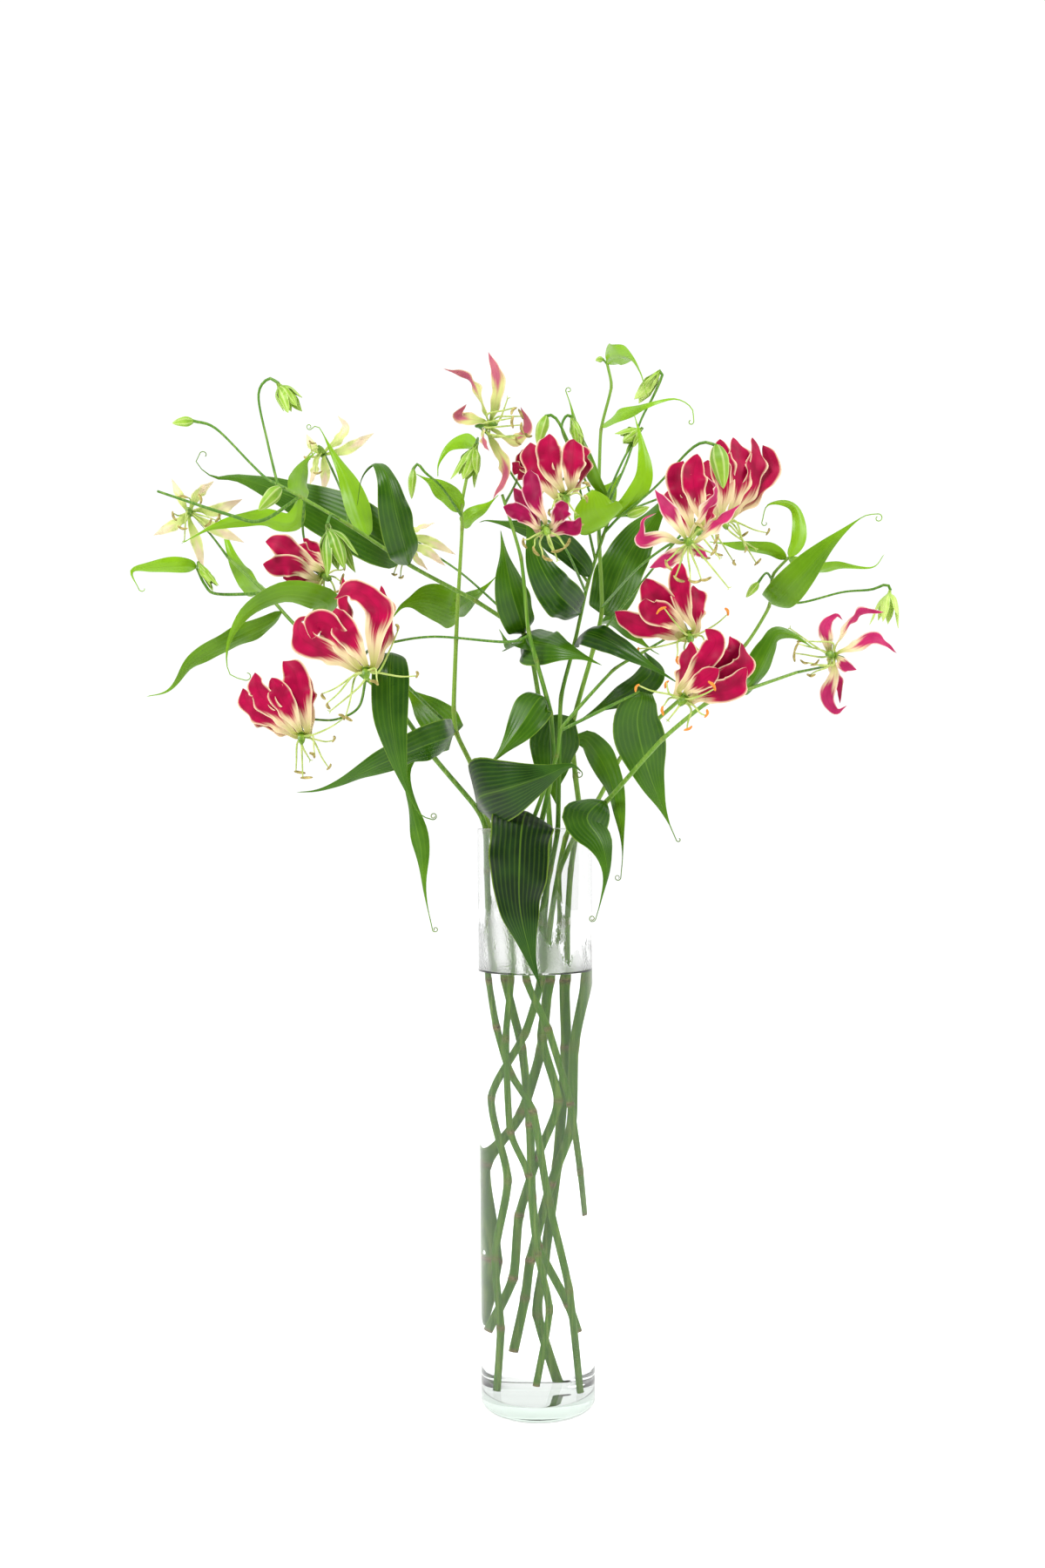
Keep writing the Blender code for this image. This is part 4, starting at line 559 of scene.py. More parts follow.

# %% [markdown]
# ## Stem skin
#
# A lily stem is a bare green rod with a faint wax on it, dark above and lighter where it is young. Under water it
# is painted lighter too: painted light that stands in for the light the water and the glass hold back. Fine lines
# run along it, and each node carries a brown, corky ring where a leaf was stripped off. The green comes from the
# age stored on the points, which also carries the painted light under water, the streaks from noise stretched a
# hundredfold along the stem, and the rings from the stored scars.

# %% The finish of the stems
stem_skin, tree = new_finish("stem_skin")
spots = add(tree, "ShaderNodeTexCoord")
axes = add(tree, "ShaderNodeSeparateXYZ", {0: spots.outputs["Object"]})
age = add(tree, "ShaderNodeAttribute", attribute_name="young")
scar = add(tree, "ShaderNodeAttribute", attribute_name="scarred")
green = add(
    tree, "ShaderNodeValToRGB", {0: age.outputs["Fac"]},
    stops=((0.0, "#244C06"), (0.35, "#4A7C16"), (0.65, "#769C34"), (1.0, "#A4C850")),
)
stretched = add(
    tree, "ShaderNodeMapping", {"Vector": spots.outputs["Object"], "Scale": (500.0, 500.0, 14.0)}
)
streaks = add(tree, "ShaderNodeTexNoise", {"Vector": stretched.outputs[0], "Scale": 1.0, "Detail": 2.0})
pale = add(tree, "ShaderNodeMapRange", {"Value": streaks.outputs["Fac"], 1: 0.45, 2: 0.75, 3: 0.0, 4: 0.4})
lined = add(
    tree, "ShaderNodeMix", {0: pale.outputs[0], 6: green.outputs[0], 7: "#A4BE58"}, data_type="RGBA"
)
corky = add(tree, "ShaderNodeTexNoise", {"Vector": spots.outputs["Object"], "Scale": 500.0, "Detail": 3.0})
cork = add(
    tree, "ShaderNodeValToRGB", {0: corky.outputs["Fac"]}, stops=((0.3, "#4A3A18"), (0.7, "#A48E5C"))
)
skin = add(
    tree, "ShaderNodeMix", {0: scar.outputs["Fac"], 6: lined.outputs[2], 7: cork.outputs[0]}, data_type="RGBA"
)
relief = add(
    tree, "ShaderNodeBump", {"Height": streaks.outputs["Fac"], "Strength": 0.25, "Distance": 0.0003}
)
# Under water the wax has almost the index of what surrounds it, and loses its shine.
shine = add(
    tree, "ShaderNodeMapRange",
    {"Value": axes.outputs["Z"], 1: WATER_TOP - 0.001, 2: WATER_TOP, 3: 0.02, 4: 0.3},
)
waxed = add(
    tree, "ShaderNodeBsdfPrincipled",
    {
        "Base Color": skin.outputs[2], "Roughness": 0.42, "Specular IOR Level": shine.outputs[0],
        "Normal": relief.outputs[0],
    },
)
add(tree, "ShaderNodeOutputMaterial", {"Surface": waxed.outputs[0]})
print("stem skin has", len(tree.nodes), "nodes")

# %% [markdown]
# ## Where the stems run
#
# Nine stems stand on the floor of the vase or lean on its wall, and cross in the water. A first list gives each
# stem below the surface, where it is seen through the round water, and a second one above it. Every drawn point
# is a node of the stem, which is why the stems zigzag.

# %% The stems
STEMS = {
    "stem_far_left": (
        (
            (668, 1603, -9), (654, 1476, -9), (630, 1376, -9), (613, 1272, -9), (585, 1228, -9),
            (569, 1178, -9), (558, 1124, -9),
        ),
        (
            (562, 1060, -9), (560, 1000, -9), (559, 953, -10), (549, 929, -14), (497, 868, -25),
            (455, 809, -30), (420, 778, -28), (341, 720, -15), (307, 682, -5), (262, 640, 8),
        ),
    ),
    "stem_left_low": (
        (
            (663, 1524, 6), (652, 1491, 6), (617, 1424, 6), (611, 1369, 6), (609, 1287, 6), (600, 1200, 6),
            (580, 1124, 6),
        ),
        (
            (585, 1060, 6), (572, 1000, 6), (563, 953, 6), (545, 885, 10), (524, 842, 10), (521, 816, 10),
            (524, 734, 10), (526, 692, 10), (531, 607, 8), (530, 580, 4), (538, 540, -2), (549, 508, -8),
        ),
    ),
    "stem_left_tall": (
        (
            (560, 1524, 33), (574, 1440, 33), (560, 1332, 33), (600, 1272, 33), (622, 1202, 33),
            (630, 1124, 33),
        ),
        (
            (625, 1060, 34), (630, 1000, 34), (632, 953, 33), (627, 880, 30), (626, 846, 26),
            (612, 758, 12), (603, 727, 8), (547, 690, 0), (472, 650, -15), (400, 602, -28),
            (345, 570, -28), (319, 556, -26),
        ),
    ),
    "stem_red_left": (
        ((676, 1394, -17), (669, 1343, -17), (656, 1265, -17), (630, 1180, -17), (604, 1124, -17)),
        (
            (604, 1060, -17), (610, 1000, -17), (620, 953, -17), (636, 880, -18), (633, 819, -24),
            (616, 758, -34), (607, 725, -38), (599, 640, -38), (577, 568, -34),
        ),
    ),
    "stem_crown": (
        (
            (570, 1603, -2), (576, 1520, -2), (567, 1439, -2), (585, 1350, -2), (560, 1258, -2),
            (604, 1184, -2), (622, 1124, -2),
        ),
        (
            (620, 1060, -2), (632, 1000, -2), (641, 953, -2), (642, 880, -2), (644, 800, -3),
            (660, 739, -6), (675, 670, -9), (692, 618, -10), (698, 600, -11), (698, 566, -12),
        ),
    ),
    "stem_tall_right": (
        (
            (591, 1543, 20), (604, 1480, 20), (609, 1439, 20), (632, 1354, 20), (656, 1291, 20),
            (658, 1198, 20), (672, 1124, 20),
        ),
        (
            (652, 1060, 20), (656, 1000, 20), (663, 955, 20), (666, 930, 23), (661, 892, 25),
            (656, 836, 25), (682, 744, 23), (692, 702, 21), (688, 615, 26), (688, 554, 28), (690, 493, 28),
            (703, 443, 26), (697, 416, 26),
        ),
    ),
    "stem_mid_right": (
        (
            (616, 1587, -24), (632, 1500, -24), (617, 1435, -24), (608, 1346, -24), (585, 1298, -24),
            (580, 1191, -24), (587, 1124, -24),
        ),
        (
            (588, 1060, -24), (598, 1000, -24), (608, 953, -24), (640, 868, -30), (644, 836, -31),
            (705, 768, -26), (740, 748, -32),
        ),
    ),
    "stem_far_right": (
        (
            (562, 1524, 13), (591, 1461, 13), (596, 1390, 13), (617, 1324, 13), (643, 1261, 13),
            (621, 1187, 13), (632, 1124, 13),
        ),
        (
            (632, 1060, 13), (642, 1000, 12), (662, 957, 10), (683, 933, 2), (697, 920, -8),
            (760, 849, -72), (812, 806, -88), (863, 790, -62), (915, 772, -38),
        ),
    ),
    "stem_right_low": (
        (
            (648, 1603, 28), (616, 1498, 28), (625, 1440, 28), (640, 1330, 28), (650, 1200, 28),
            (648, 1124, 28),
        ),
        (
            (644, 1060, 27), (642, 1000, 27), (650, 962, 27), (658, 945, 28), (684, 924, 35),
            (718, 860, 40), (790, 795, 36), (856, 742, 20), (884, 697, 10), (887, 660, 2), (906, 640, 0),
        ),
    ),
}

SHOOTS = {
    "shoot_to_hanging_leaf": ("stem_left_low", ((519, 842, 8), (466, 785, -30), (448, 758, -56))),
    "shoot_far_left": ("stem_far_left", ((300, 687, -5), (250, 682, 8), (236, 672, 8), (226, 652, 8))),
    "shoot_cut": ("stem_left_tall", ((345, 570, -28), (300, 598, -14), (263, 591, -12), (181, 564, -10))),
    "shoot_to_low_leaf": ("stem_mid_right", ((643, 838, -31), (690, 816, -34), (735, 794, -34))),
}

STEM_YOUTH = {
    "stem_far_left": 0.25, "stem_left_low": 0.5, "stem_left_tall": 0.3, "stem_red_left": 0.2,
    "stem_crown": 0.15, "stem_tall_right": 0.35, "stem_mid_right": 0.2, "stem_far_right": 0.3,
    "stem_right_low": 0.4,
}
print(len(STEMS), "stems and", len(SHOOTS), "side shoots")

# %% [markdown]
# ## Stems
#
# The real stem is about 5 mm thick, tapers slowly and thickens at each node. A curve with a round bevel would make
# it quickly, but its thickness and scars are easier to control on a blank: each row knows how far it is from the
# nearest node, and that distance makes both the swelling and the brown ring. Under water the rings are plain to
# see, because the leaves there were stripped off. Above it only a thin line is left.

# %% Stems and shoots
STEM_RADIUS = 0.0027
STEM_TIP = 0.0013
SHOOT_RADIUS = 0.00144
STALK_RADIUS = 0.0011
NODE_REACH = 0.0032
CORNER_STEPS = 2


def nearest_node(line, nodes):
    """How far each point of a line is from the nearest node."""
    spots = np.array(line)[:, None]
    return np.linalg.norm(spots - np.array(nodes)[None], axis=2).min(axis=1)


def stem_places(name):
    wet, dry = STEMS[name]
    return [in_water(*spot) for spot in wet] + [grown(*spot) for spot in dry]


def near(share, length):
    return np.exp(-((share / length) ** 2))


def softened(places):
    """The places with each corner but the ends cut by two, so that a stem bends sharply but not in a point."""
    soft = [places[0]]
    for before, corner, after in zip(places, places[1:], places[2:]):
        soft += [corner.lerp(before, 0.16), corner.lerp(after, 0.16)]
    return [*soft, places[-1]]


def build_stem(name):
    """A stem with its swollen nodes, and the line that other pieces are rooted on."""
    places = stem_places(name)
    wet_count = len(STEMS[name][0])
    nodes = places[1:-1]

    def radii(share, core):
        taper = STEM_RADIUS + (STEM_TIP - STEM_RADIUS) * np.clip((share - 0.45) / 0.55, 0, 1)
        return taper * (1 + 0.16 * near(nearest_node(core, nodes), NODE_REACH))

    def scars(share, core):
        ring = near(nearest_node(core, nodes), 0.0018)
        wet = np.array([point.z < WATER_TOP + 0.01 for point in core])
        cut = near(run_along(core), 0.0012)
        return np.clip(np.where(wet, 1.0, 0.35) * ring + cut, 0, 1)

    def ages(share, core):
        # Painted light: under water the green is lifted to a fixed 0.38, lighter than above, for the light the water
        # and glass hold back.
        wet = np.clip((WATER_TOP + 0.02 - np.array([point.z for point in core])) / 0.05, 0, 1)
        return STEM_YOUTH[name] * (1 - wet) + 0.38 * wet + 0.25 * share * (1 - wet)

    piece = rod(name, softened(places), radii, stem_skin, stem_blank, young=ages, scarred=scars)
    print(name, "is", round(run_along(places)[-1], 3), "m long, with", wet_count, "nodes under water")
    return piece, curve_through(softened(places), 4)


def rooted(places, lines):
    """The places with the first moved onto the nearest of the lines."""
    best = None
    for line in lines:
        for a, b in zip(line, line[1:]):
            span = b - a
            share = min(1.0, max(0.0, (places[0] - a).dot(span) / max(span.length_squared, 1e-12)))
            spot = a + span * share
            if best is None or (spot - places[0]).length < (best - places[0]).length:
                best = spot
    return [best, *places[1:]]


pieces_of, lines_of = {}, {}
for name in STEMS:
    piece, line = build_stem(name)
    pieces_of[name], lines_of[name] = [piece], [line]
for name, (stem, spots) in SHOOTS.items():
    places = rooted([grown(*spot) for spot in spots], lines_of[stem])
    lines_of[stem].append(curve_through(places, 4))
    pieces_of[stem].append(
        rod(name, places, ((0, SHOOT_RADIUS), (0.5, SHOOT_RADIUS), (1, STALK_RADIUS)), stem_skin, young=0.3)
    )

# %% [markdown]
# ## Leaf blade
#
# The leaf of a flame lily is glossy, soft and parallel-veined, like a blade of grass made broad. Wax gives it a
# bluish sheen where light grazes it. Old leaves are deep green and young ones almost yellow. The margin catches the
# light as a fine pale line, and the midrib is a pale furrow. The veins all run from the base to the tip, so
# the pattern counts them across the blade, by the number stored on its points, and closes up where it narrows.

# %% The finish of the leaves
leaf_blade, tree = new_finish("leaf_blade")
spots = add(tree, "ShaderNodeTexCoord")
uv = add(tree, "ShaderNodeSeparateXYZ", {0: spots.outputs["UV"]})
age = add(tree, "ShaderNodeAttribute", attribute_name="young")
withered = add(tree, "ShaderNodeAttribute", attribute_name="scarred")
count = add(tree, "ShaderNodeAttribute", attribute_name="veins")
broad = add(tree, "ShaderNodeAttribute", attribute_name="broad")
patches = add(
    tree, "ShaderNodeTexNoise", {"Vector": spots.outputs["Object"], "Scale": 38.0, "Detail": 2.0}
)
aged = add(
    tree, "ShaderNodeMath", {0: patches.outputs["Fac"], 1: 0.34, 2: age.outputs["Fac"]}, operation="MULTIPLY_ADD"
)
# Its darkest stop is mostly reached by the low leaves whose youth is below nothing, as painted shade.
green = add(
    tree, "ShaderNodeValToRGB", {0: aged.outputs[0]},
    stops=((0.06, "#0A2604"), (0.24, "#204A04"), (0.48, "#447404"), (0.76, "#6C9C08"), (1.0, "#8CC016")),
)
numbered = add(tree, "ShaderNodeMath", {0: uv.outputs["X"], 1: count.outputs["Fac"]}, operation="MULTIPLY")
stripes = add(tree, "ShaderNodeMath", {0: numbered.outputs[0], 1: 2 * math.pi}, operation="MULTIPLY")
wave = add(tree, "ShaderNodeMath", {0: stripes.outputs[0]}, operation="COSINE")
carried = add(tree, "ShaderNodeMath", {0: wave.outputs[0], 1: broad.outputs["Fac"]}, operation="MULTIPLY")
thin = add(tree, "ShaderNodeMapRange", {"Value": carried.outputs[0], 1: 0.1, 2: 1.0, 3: 0.0, 4: 0.09})
veined = add(
    tree, "ShaderNodeMix", {0: thin.outputs[0], 6: green.outputs[0], 7: "#86B42C"}, data_type="RGBA"
)
aside = add(tree, "ShaderNodeMath", {0: uv.outputs["X"], 1: 0.5}, operation="SUBTRACT")
off_rib = add(tree, "ShaderNodeMath", {0: aside.outputs[0]}, operation="ABSOLUTE")
rib = add(tree, "ShaderNodeMapRange", {"Value": off_rib.outputs[0], 1: 0.004, 2: 0.022, 3: 0.22, 4: 0.0})
ribbed = add(
    tree, "ShaderNodeMix", {0: rib.outputs[0], 6: veined.outputs[2], 7: "#8DBB3A"}, data_type="RGBA"
)
# Painted highlight: a fine pale line of light along the leaf margin.
margin = add(tree, "ShaderNodeMapRange", {"Value": off_rib.outputs[0], 1: 0.470, 2: 0.495, 3: 0.0, 4: 0.45})
lined = add(
    tree, "ShaderNodeMix", {0: margin.outputs[0], 6: ribbed.outputs[2], 7: "#9CC040"}, data_type="RGBA"
)
dried = add(
    tree, "ShaderNodeMix", {0: withered.outputs["Fac"], 6: lined.outputs[2], 7: "#7E6A24"}, data_type="RGBA"
)
furrows = add(
    tree, "ShaderNodeMath", {0: carried.outputs[0], 1: 0.5, 2: patches.outputs["Fac"]}, operation="MULTIPLY_ADD"
)
relief = add(
    tree, "ShaderNodeBump", {"Height": furrows.outputs[0], "Strength": 0.22, "Distance": 0.0004}
)
shine = add(
    tree, "ShaderNodeMapRange", {"Value": patches.outputs["Fac"], 1: 0.3, 2: 0.7, 3: 0.26, 4: 0.40}
)
waxed = add(
    tree, "ShaderNodeBsdfPrincipled",
    {
        "Base Color": dried.outputs[2], "Roughness": shine.outputs[0], "Specular IOR Level": 0.3,
        "Normal": relief.outputs[0],
    },
)
glow = add(
    tree, "ShaderNodeBsdfTranslucent", {"Color": dried.outputs[2], "Normal": relief.outputs[0]}
)
both = add(tree, "ShaderNodeMixShader", {0: 0.16, 1: waxed.outputs[0], 2: glow.outputs[0]})
add(tree, "ShaderNodeOutputMaterial", {"Surface": both.outputs[0]})
print("leaf blade has", len(tree.nodes), "nodes")

# %% [markdown]
# ## The leaves
#
# A leaf is written as its stem, its breadth in millimetres, how far it is rolled away from the eye in degrees, how
# deeply it is folded along the midrib, how young it is, its curl, and its places. Youth sets the green, and the two
# low leaves at the rim and down the glass are given less than nothing: painted shade, for the shade they hang in. A
# curl is a number of turns and a first radius in millimetres: more than nothing runs clockwise as seen from the
# front, less than nothing the other way round.

# %% The leaves
LEAVES = {
    # Painted shade: a youth below nothing darkens this leaf for the shade it hangs in.
    "hanging_outside_glass": ("stem_mid_right", 54, 0, 0.12, -0.12, None, (
        (611, 944, -25), (606, 932, -44), (600, 946, -62), (597, 985, -66), (597, 1040, -66),
        (608, 1092, -64), (622, 1138, -62),
    )),
    "standing_inside_glass": ("stem_left_low", 20, 10, 0.2, 0.35, None, (
        (563, 951, 6), (570, 962, 14), (580, 1000, 20), (582, 1040, 22), (588, 1078, 22),
    )),
    # Painted shade: a youth below nothing darkens this leaf for the shade it lies in.
    "broad_over_rim": ("stem_far_left", 64, 0, 0.2, -0.05, (1.1, 3.0), (
        (549, 929, -14), (551, 915, -54), (580, 906, -72), (620, 893, -74), (655, 879, -72),
        (668, 886, -70),
    )),
    "pale_down_to_rim": ("stem_red_left", 34, 15, 0.3, 0.2, None, (
        (633, 819, -24), (622, 800, -34), (597, 835, -46), (572, 868, -50), (557, 878, -50),
    )),
    "short_into_vase": ("stem_crown", 44, -15, 0.2, 0.15, None, (
        (644, 820, -3), (640, 838, 4), (636, 870, 12), (636, 905, 14), (641, 928, 14),
    )),
    "hook_right_of_rim": ("stem_tall_right", 26, 25, 0.3, 0.3, (1.2, 2.6), (
        (657, 850, 25), (674, 850, 20), (697, 885, 2), (710, 930, -8), (715, 975, -10), (713, 1008, -10),
    )),
    "long_outside_glass": ("stem_far_right", 42, 0, 0.25, 0.15, (1.4, 2.8), (
        (697, 920, -8), (688, 922, -30), (674, 940, -50), (690, 966, -57), (697, 1000, -58),
        (690, 1035, -58), (684, 1056, -58),
    )),
    "long_right_of_rim": ("stem_mid_right", 44, 0, 0.2, 0.2, (-0.7, 2.0), (
        (735, 794, -34), (738, 800, -36), (732, 830, -32), (743, 880, -22), (760, 925, -18),
        (777, 965, -18),
    )),
    "across_middle_right": ("stem_crown", 23, -20, 0.3, 0.05, None, (
        (660, 739, -6), (672, 727, -34), (700, 736, -60), (735, 757, -75), (766, 776, -80),
        (784, 788, -82),
    )),
    "back_to_middle": ("stem_mid_right", 27, 20, 0.3, 0.15, None, (
        (740, 748, -32), (748, 772, -14), (722, 794, -2), (690, 812, 2), (663, 829, 2),
    )),
    "folded_right": ("stem_far_right", 24, 35, 0.5, 0.35, None, (
        (850, 792, -68), (866, 780, -62), (884, 745, -60), (893, 729, -58), (912, 730, -56),
        (934, 744, -56),
    )),
    "long_far_right": ("stem_right_low", 30, 10, 0.2, 0.5, (1.0, 3.5), (
        (885, 690, 9), (890, 692, -10), (915, 665, -22), (955, 622, -20), (990, 594, -16),
        (1009, 590, -16),
    )),
    "far_right_tip": ("stem_right_low", 12, 30, 0.3, 0.7, None, (
        (906, 640, 0), (934, 655, 14), (962, 650, 22), (1001, 652, 24), (1016, 636, 24),
    )),
    "far_right_hook": ("stem_right_low", 14, 20, 0.2, 0.85, (-0.7, 2.6), (
        (906, 640, 0), (917, 620, 2), (917, 590, 4), (905, 578, 4), (882, 580, 2), (875, 600, 2),
    )),
    "far_right_back": ("stem_right_low", 13, -30, 0.3, 0.7, None, (
        (904, 642, 0), (885, 632, -4), (850, 627, -10), (814, 622, -14),
    )),
    "top_right_arch": ("stem_tall_right", 22, 30, 0.4, 0.85, None, (
        (697, 418, 26), (704, 410, 10), (722, 411, -10), (735, 428, -16), (744, 457, -16),
    )),
    "top_long_right": ("stem_tall_right", 11, -40, 0.2, 0.8, (0.8, 2.5), (
        (692, 490, 28), (712, 477, 8), (745, 465, -14), (775, 458, -20), (794, 468, -22), (797, 484, -22),
    )),
    "top_upright": ("stem_crown", 17, 10, 0.25, 0.9, None, (
        (713, 592, -14), (722, 578, -20), (740, 548, -26), (738, 512, -26), (728, 474, -24),
    )),
    "top_curl_left": ("stem_crown", 12, 20, 0.3, 0.5, (1.0, 2.4), (
        (698, 570, -12), (684, 550, -20), (666, 505, -24), (657, 470, -24), (650, 449, -24),
    )),
    "crown_broad": ("stem_crown", 42, 0, 0.15, 0.8, None, (
        (697, 603, -11), (694, 602, -26), (685, 588, -34), (682, 574, -36), (680, 562, -36),
    )),
    "tall_right_short": ("stem_tall_right", 22, 10, 0.2, 0.7, None, (
        (688, 575, 27), (696, 570, 16), (706, 555, 10), (713, 543, 8),
    )),
    "big_right": ("stem_tall_right", 42, 0, 0.15, 0.2, None, (
        (690, 705, 21), (698, 694, 30), (720, 640, 38), (752, 592, 40), (785, 549, 40),
    )),
    "middle_left_up": ("stem_left_tall", 33, 15, 0.25, 0.2, None, (
        (603, 727, 8), (599, 716, -2), (588, 680, -12), (580, 640, -14), (575, 608, -12),
    )),
    "middle_dark_up": ("stem_crown", 36, 0, 0.25, 0.1, None, (
        (668, 705, -8), (660, 700, -28), (636, 676, -58), (616, 638, -64), (608, 600, -64),
        (606, 573, -62),
    )),
    "middle_dark_left": ("stem_crown", 24, -15, 0.2, 0.12, None, (
        (676, 662, -9), (668, 648, -20), (636, 620, -30), (600, 606, -26), (562, 598, -20),
        (550, 600, -18),
    )),
    "fold_right_lobe": ("stem_left_tall", 40, -25, 0.4, 0.15, None, (
        (603, 727, 8), (612, 737, -14), (636, 742, -34), (666, 752, -42), (692, 764, -44),
    )),
    "fold_left_lobe": ("stem_left_tall", 40, 25, 0.4, 0.2, None, (
        (603, 727, 8), (600, 738, -4), (586, 738, -12), (573, 722, -14),
    )),
    "long_hanging_left": ("stem_left_low", 34, 0, 0.2, 0.15, (-1.4, 2.8), (
        (448, 758, -56), (450, 750, -66), (448, 775, -78), (450, 830, -82), (462, 890, -82),
        (480, 932, -80), (497, 941, -80),
    )),
    "broad_low_left": ("stem_left_low", 34, 10, 0.2, 0.4, None, (
        (524, 842, 10), (514, 836, 16), (490, 812, 22), (470, 794, 22), (456, 784, 20),
    )),
    "long_low_left": ("stem_left_low", 33, -25, 0.3, 0.15, None, (
        (521, 842, 9), (516, 846, -30), (488, 856, -52), (440, 876, -60), (375, 905, -56), (340, 910, -54),
    )),
    "thin_to_glass": ("stem_far_left", 17, 30, 0.25, 0.3, (-1.2, 2.4), (
        (490, 855, -26), (468, 885, -28), (474, 930, -30), (484, 975, -30), (488, 1025, -30),
        (497, 1068, -30),
    )),
    "hook_left": ("stem_far_left", 25, -30, 0.3, 0.5, (-0.6, 4.0), (
        (352, 728, -17), (376, 700, -40), (366, 688, -54), (325, 683, -56), (285, 702, -52),
        (263, 738, -48), (263, 772, -46), (282, 781, -46),
    )),
    "far_left_down": ("stem_far_left", 20, -30, 0.3, 0.45, None, (
        (325, 702, -10), (308, 716, -18), (262, 738, -24), (222, 760, -26), (195, 792, -26),
        (168, 800, -26),
    )),
    "far_left_up": ("stem_far_left", 18, 20, 0.2, 0.7, None, (
        (302, 680, -4), (290, 674, 20), (268, 640, 40), (256, 605, 44), (248, 578, 44),
    )),
    "far_left_end": ("stem_far_left", 15, -30, 0.3, 0.85, (-0.5, 3.0), (
        (226, 652, 8), (210, 650, 0), (175, 652, -6), (152, 656, -8), (160, 677, -8),
    )),
    "far_left_pale": ("stem_left_tall", 18, -30, 0.3, 0.85, None, (
        (345, 572, -28), (335, 600, -8), (300, 596, 0), (250, 604, -2), (208, 624, -4),
    )),
    "big_left_top": ("stem_left_tall", 48, 0, 0.15, 0.22, (0.6, 3.5), (
        (462, 645, -16), (440, 622, 4), (380, 590, 12), (325, 566, 14), (275, 549, 14), (246, 548, 14),
        (226, 532, 14), (230, 520, 14),
    )),
    "dark_hook_left": ("stem_left_tall", 32, 20, 0.3, 0.15, None, (
        (470, 650, -15), (466, 632, -44), (455, 590, -58), (446, 550, -62), (432, 532, -52),
        (416, 548, -40), (410, 582, -36),
    )),
    "curl_top_left": ("stem_left_tall", 22, 15, 0.25, 0.7, (1.2, 2.4), (
        (422, 616, -24), (414, 590, -14), (400, 550, -2), (380, 515, 2), (366, 490, 2), (357, 493, 2),
    )),
    "olive_top_left": ("stem_left_tall", 20, 20, 0.3, 0.6, None, (
        (345, 572, -28), (344, 556, -10), (350, 532, 6), (364, 518, 12),
    )),
    "young_left_back": ("stem_left_low", 20, -20, 0.25, 0.8, None, (
        (530, 588, 6), (516, 570, 0), (498, 556, -8), (478, 544, -12),
    )),
    "young_left_bent": ("stem_left_low", 13, 10, 0.3, 0.8, None, (
        (546, 514, -7), (534, 506, 6), (514, 514, 12), (504, 532, 12), (503, 548, 12),
    )),
    "young_left_front": ("stem_left_low", 15, 20, 0.3, 0.8, None, (
        (531, 602, 8), (540, 594, 14), (558, 582, 18), (573, 568, 18),
    )),
    "broad_left": ("stem_left_low", 34, -10, 0.15, 0.5, None, (
        (526, 702, 10), (516, 698, 22), (490, 690, 30), (465, 694, 32), (452, 708, 32), (441, 724, 32),
    )),
    "slim_left": ("stem_left_low", 18, 20, 0.3, 0.45, None, (
        (526, 700, 10), (534, 694, 24), (552, 680, 34), (572, 660, 36),
    )),
    "under_big_right": ("stem_tall_right", 17, 40, 0.3, 0.3, None, (
        (688, 715, 22), (704, 712, 36), (725, 728, 40), (748, 746, 40), (758, 752, 40),
    )),
}
print(len(LEAVES), "leaves,", sum(1 for leaf in LEAVES.values() if leaf[5]), "of them with a curl")

# %% [markdown]
# ## Leaves and their tendrils
#
# The leaf tip is the climbing organ of this lily: it narrows into a wiry tendril and winds up when it finds nothing
# to hold. So the blade and its tendril are one line and one blank. The breadth follows a smooth outline down to
# the thickness of the wire, and the curl adds a spiral that tightens with every turn. The last part of the breadth
# never falls below the wire, and there the thin blade becomes a round rod.

# %% A leaf with its tendril
LEAF_SHAPE = ((0, 0.02), (0.05, 0.5), (0.14, 0.80), (0.34, 1.0), (0.58, 0.74), (0.81, 0.20), (1.0, 0.0))
LONG_LEAF_SHAPE = (
    (0, 0.02), (0.04, 0.45), (0.11, 0.76), (0.27, 1.0), (0.44, 0.88), (0.62, 0.50), (0.77, 0.17), (0.90, 0.02),
    (1.0, 0.0),
)
LONG_LEAF_PLACES = 7
# Leaves whose outline is their own: full from the fold on, heart-shaped, or widest late
OUTLINES = {
    "hanging_outside_glass": (
        (0, 0.35), (0.06, 0.80), (0.14, 1.0), (0.30, 1.0), (0.48, 0.90), (0.64, 0.62), (0.80, 0.26), (0.92, 0.07),
        (1.0, 0.0),
    ),
    "broad_over_rim": (
        (0, 0.05), (0.12, 0.35), (0.28, 0.90), (0.38, 1.0), (0.52, 0.82), (0.70, 0.45), (0.86, 0.14), (1.0, 0.0),
    ),
    "thin_to_glass": (
        (0, 0.10), (0.15, 0.34), (0.32, 0.55), (0.48, 1.0), (0.60, 0.80), (0.74, 0.32), (0.88, 0.06), (1.0, 0.0),
    ),
    "long_outside_glass": (
        (0, 0.05), (0.10, 0.35), (0.24, 0.90), (0.36, 1.0), (0.50, 0.74), (0.62, 0.36), (0.76, 0.12), (0.90, 0.03),
        (1.0, 0.0),
    ),
    "crown_broad": (
        (0, 0.30), (0.15, 0.75), (0.35, 1.0), (0.60, 0.98), (0.80, 0.72), (0.93, 0.35), (1.0, 0.0),
    ),
    "broad_left": (
        (0, 0.15), (0.08, 0.60), (0.22, 0.98), (0.40, 1.0), (0.56, 0.74), (0.68, 0.24), (0.82, 0.05), (1.0, 0.0),
    ),
}
TENDRIL = 0.0011
LEAF_RIPPLE = 0.0016
WIDEST_SHARE = 0.34


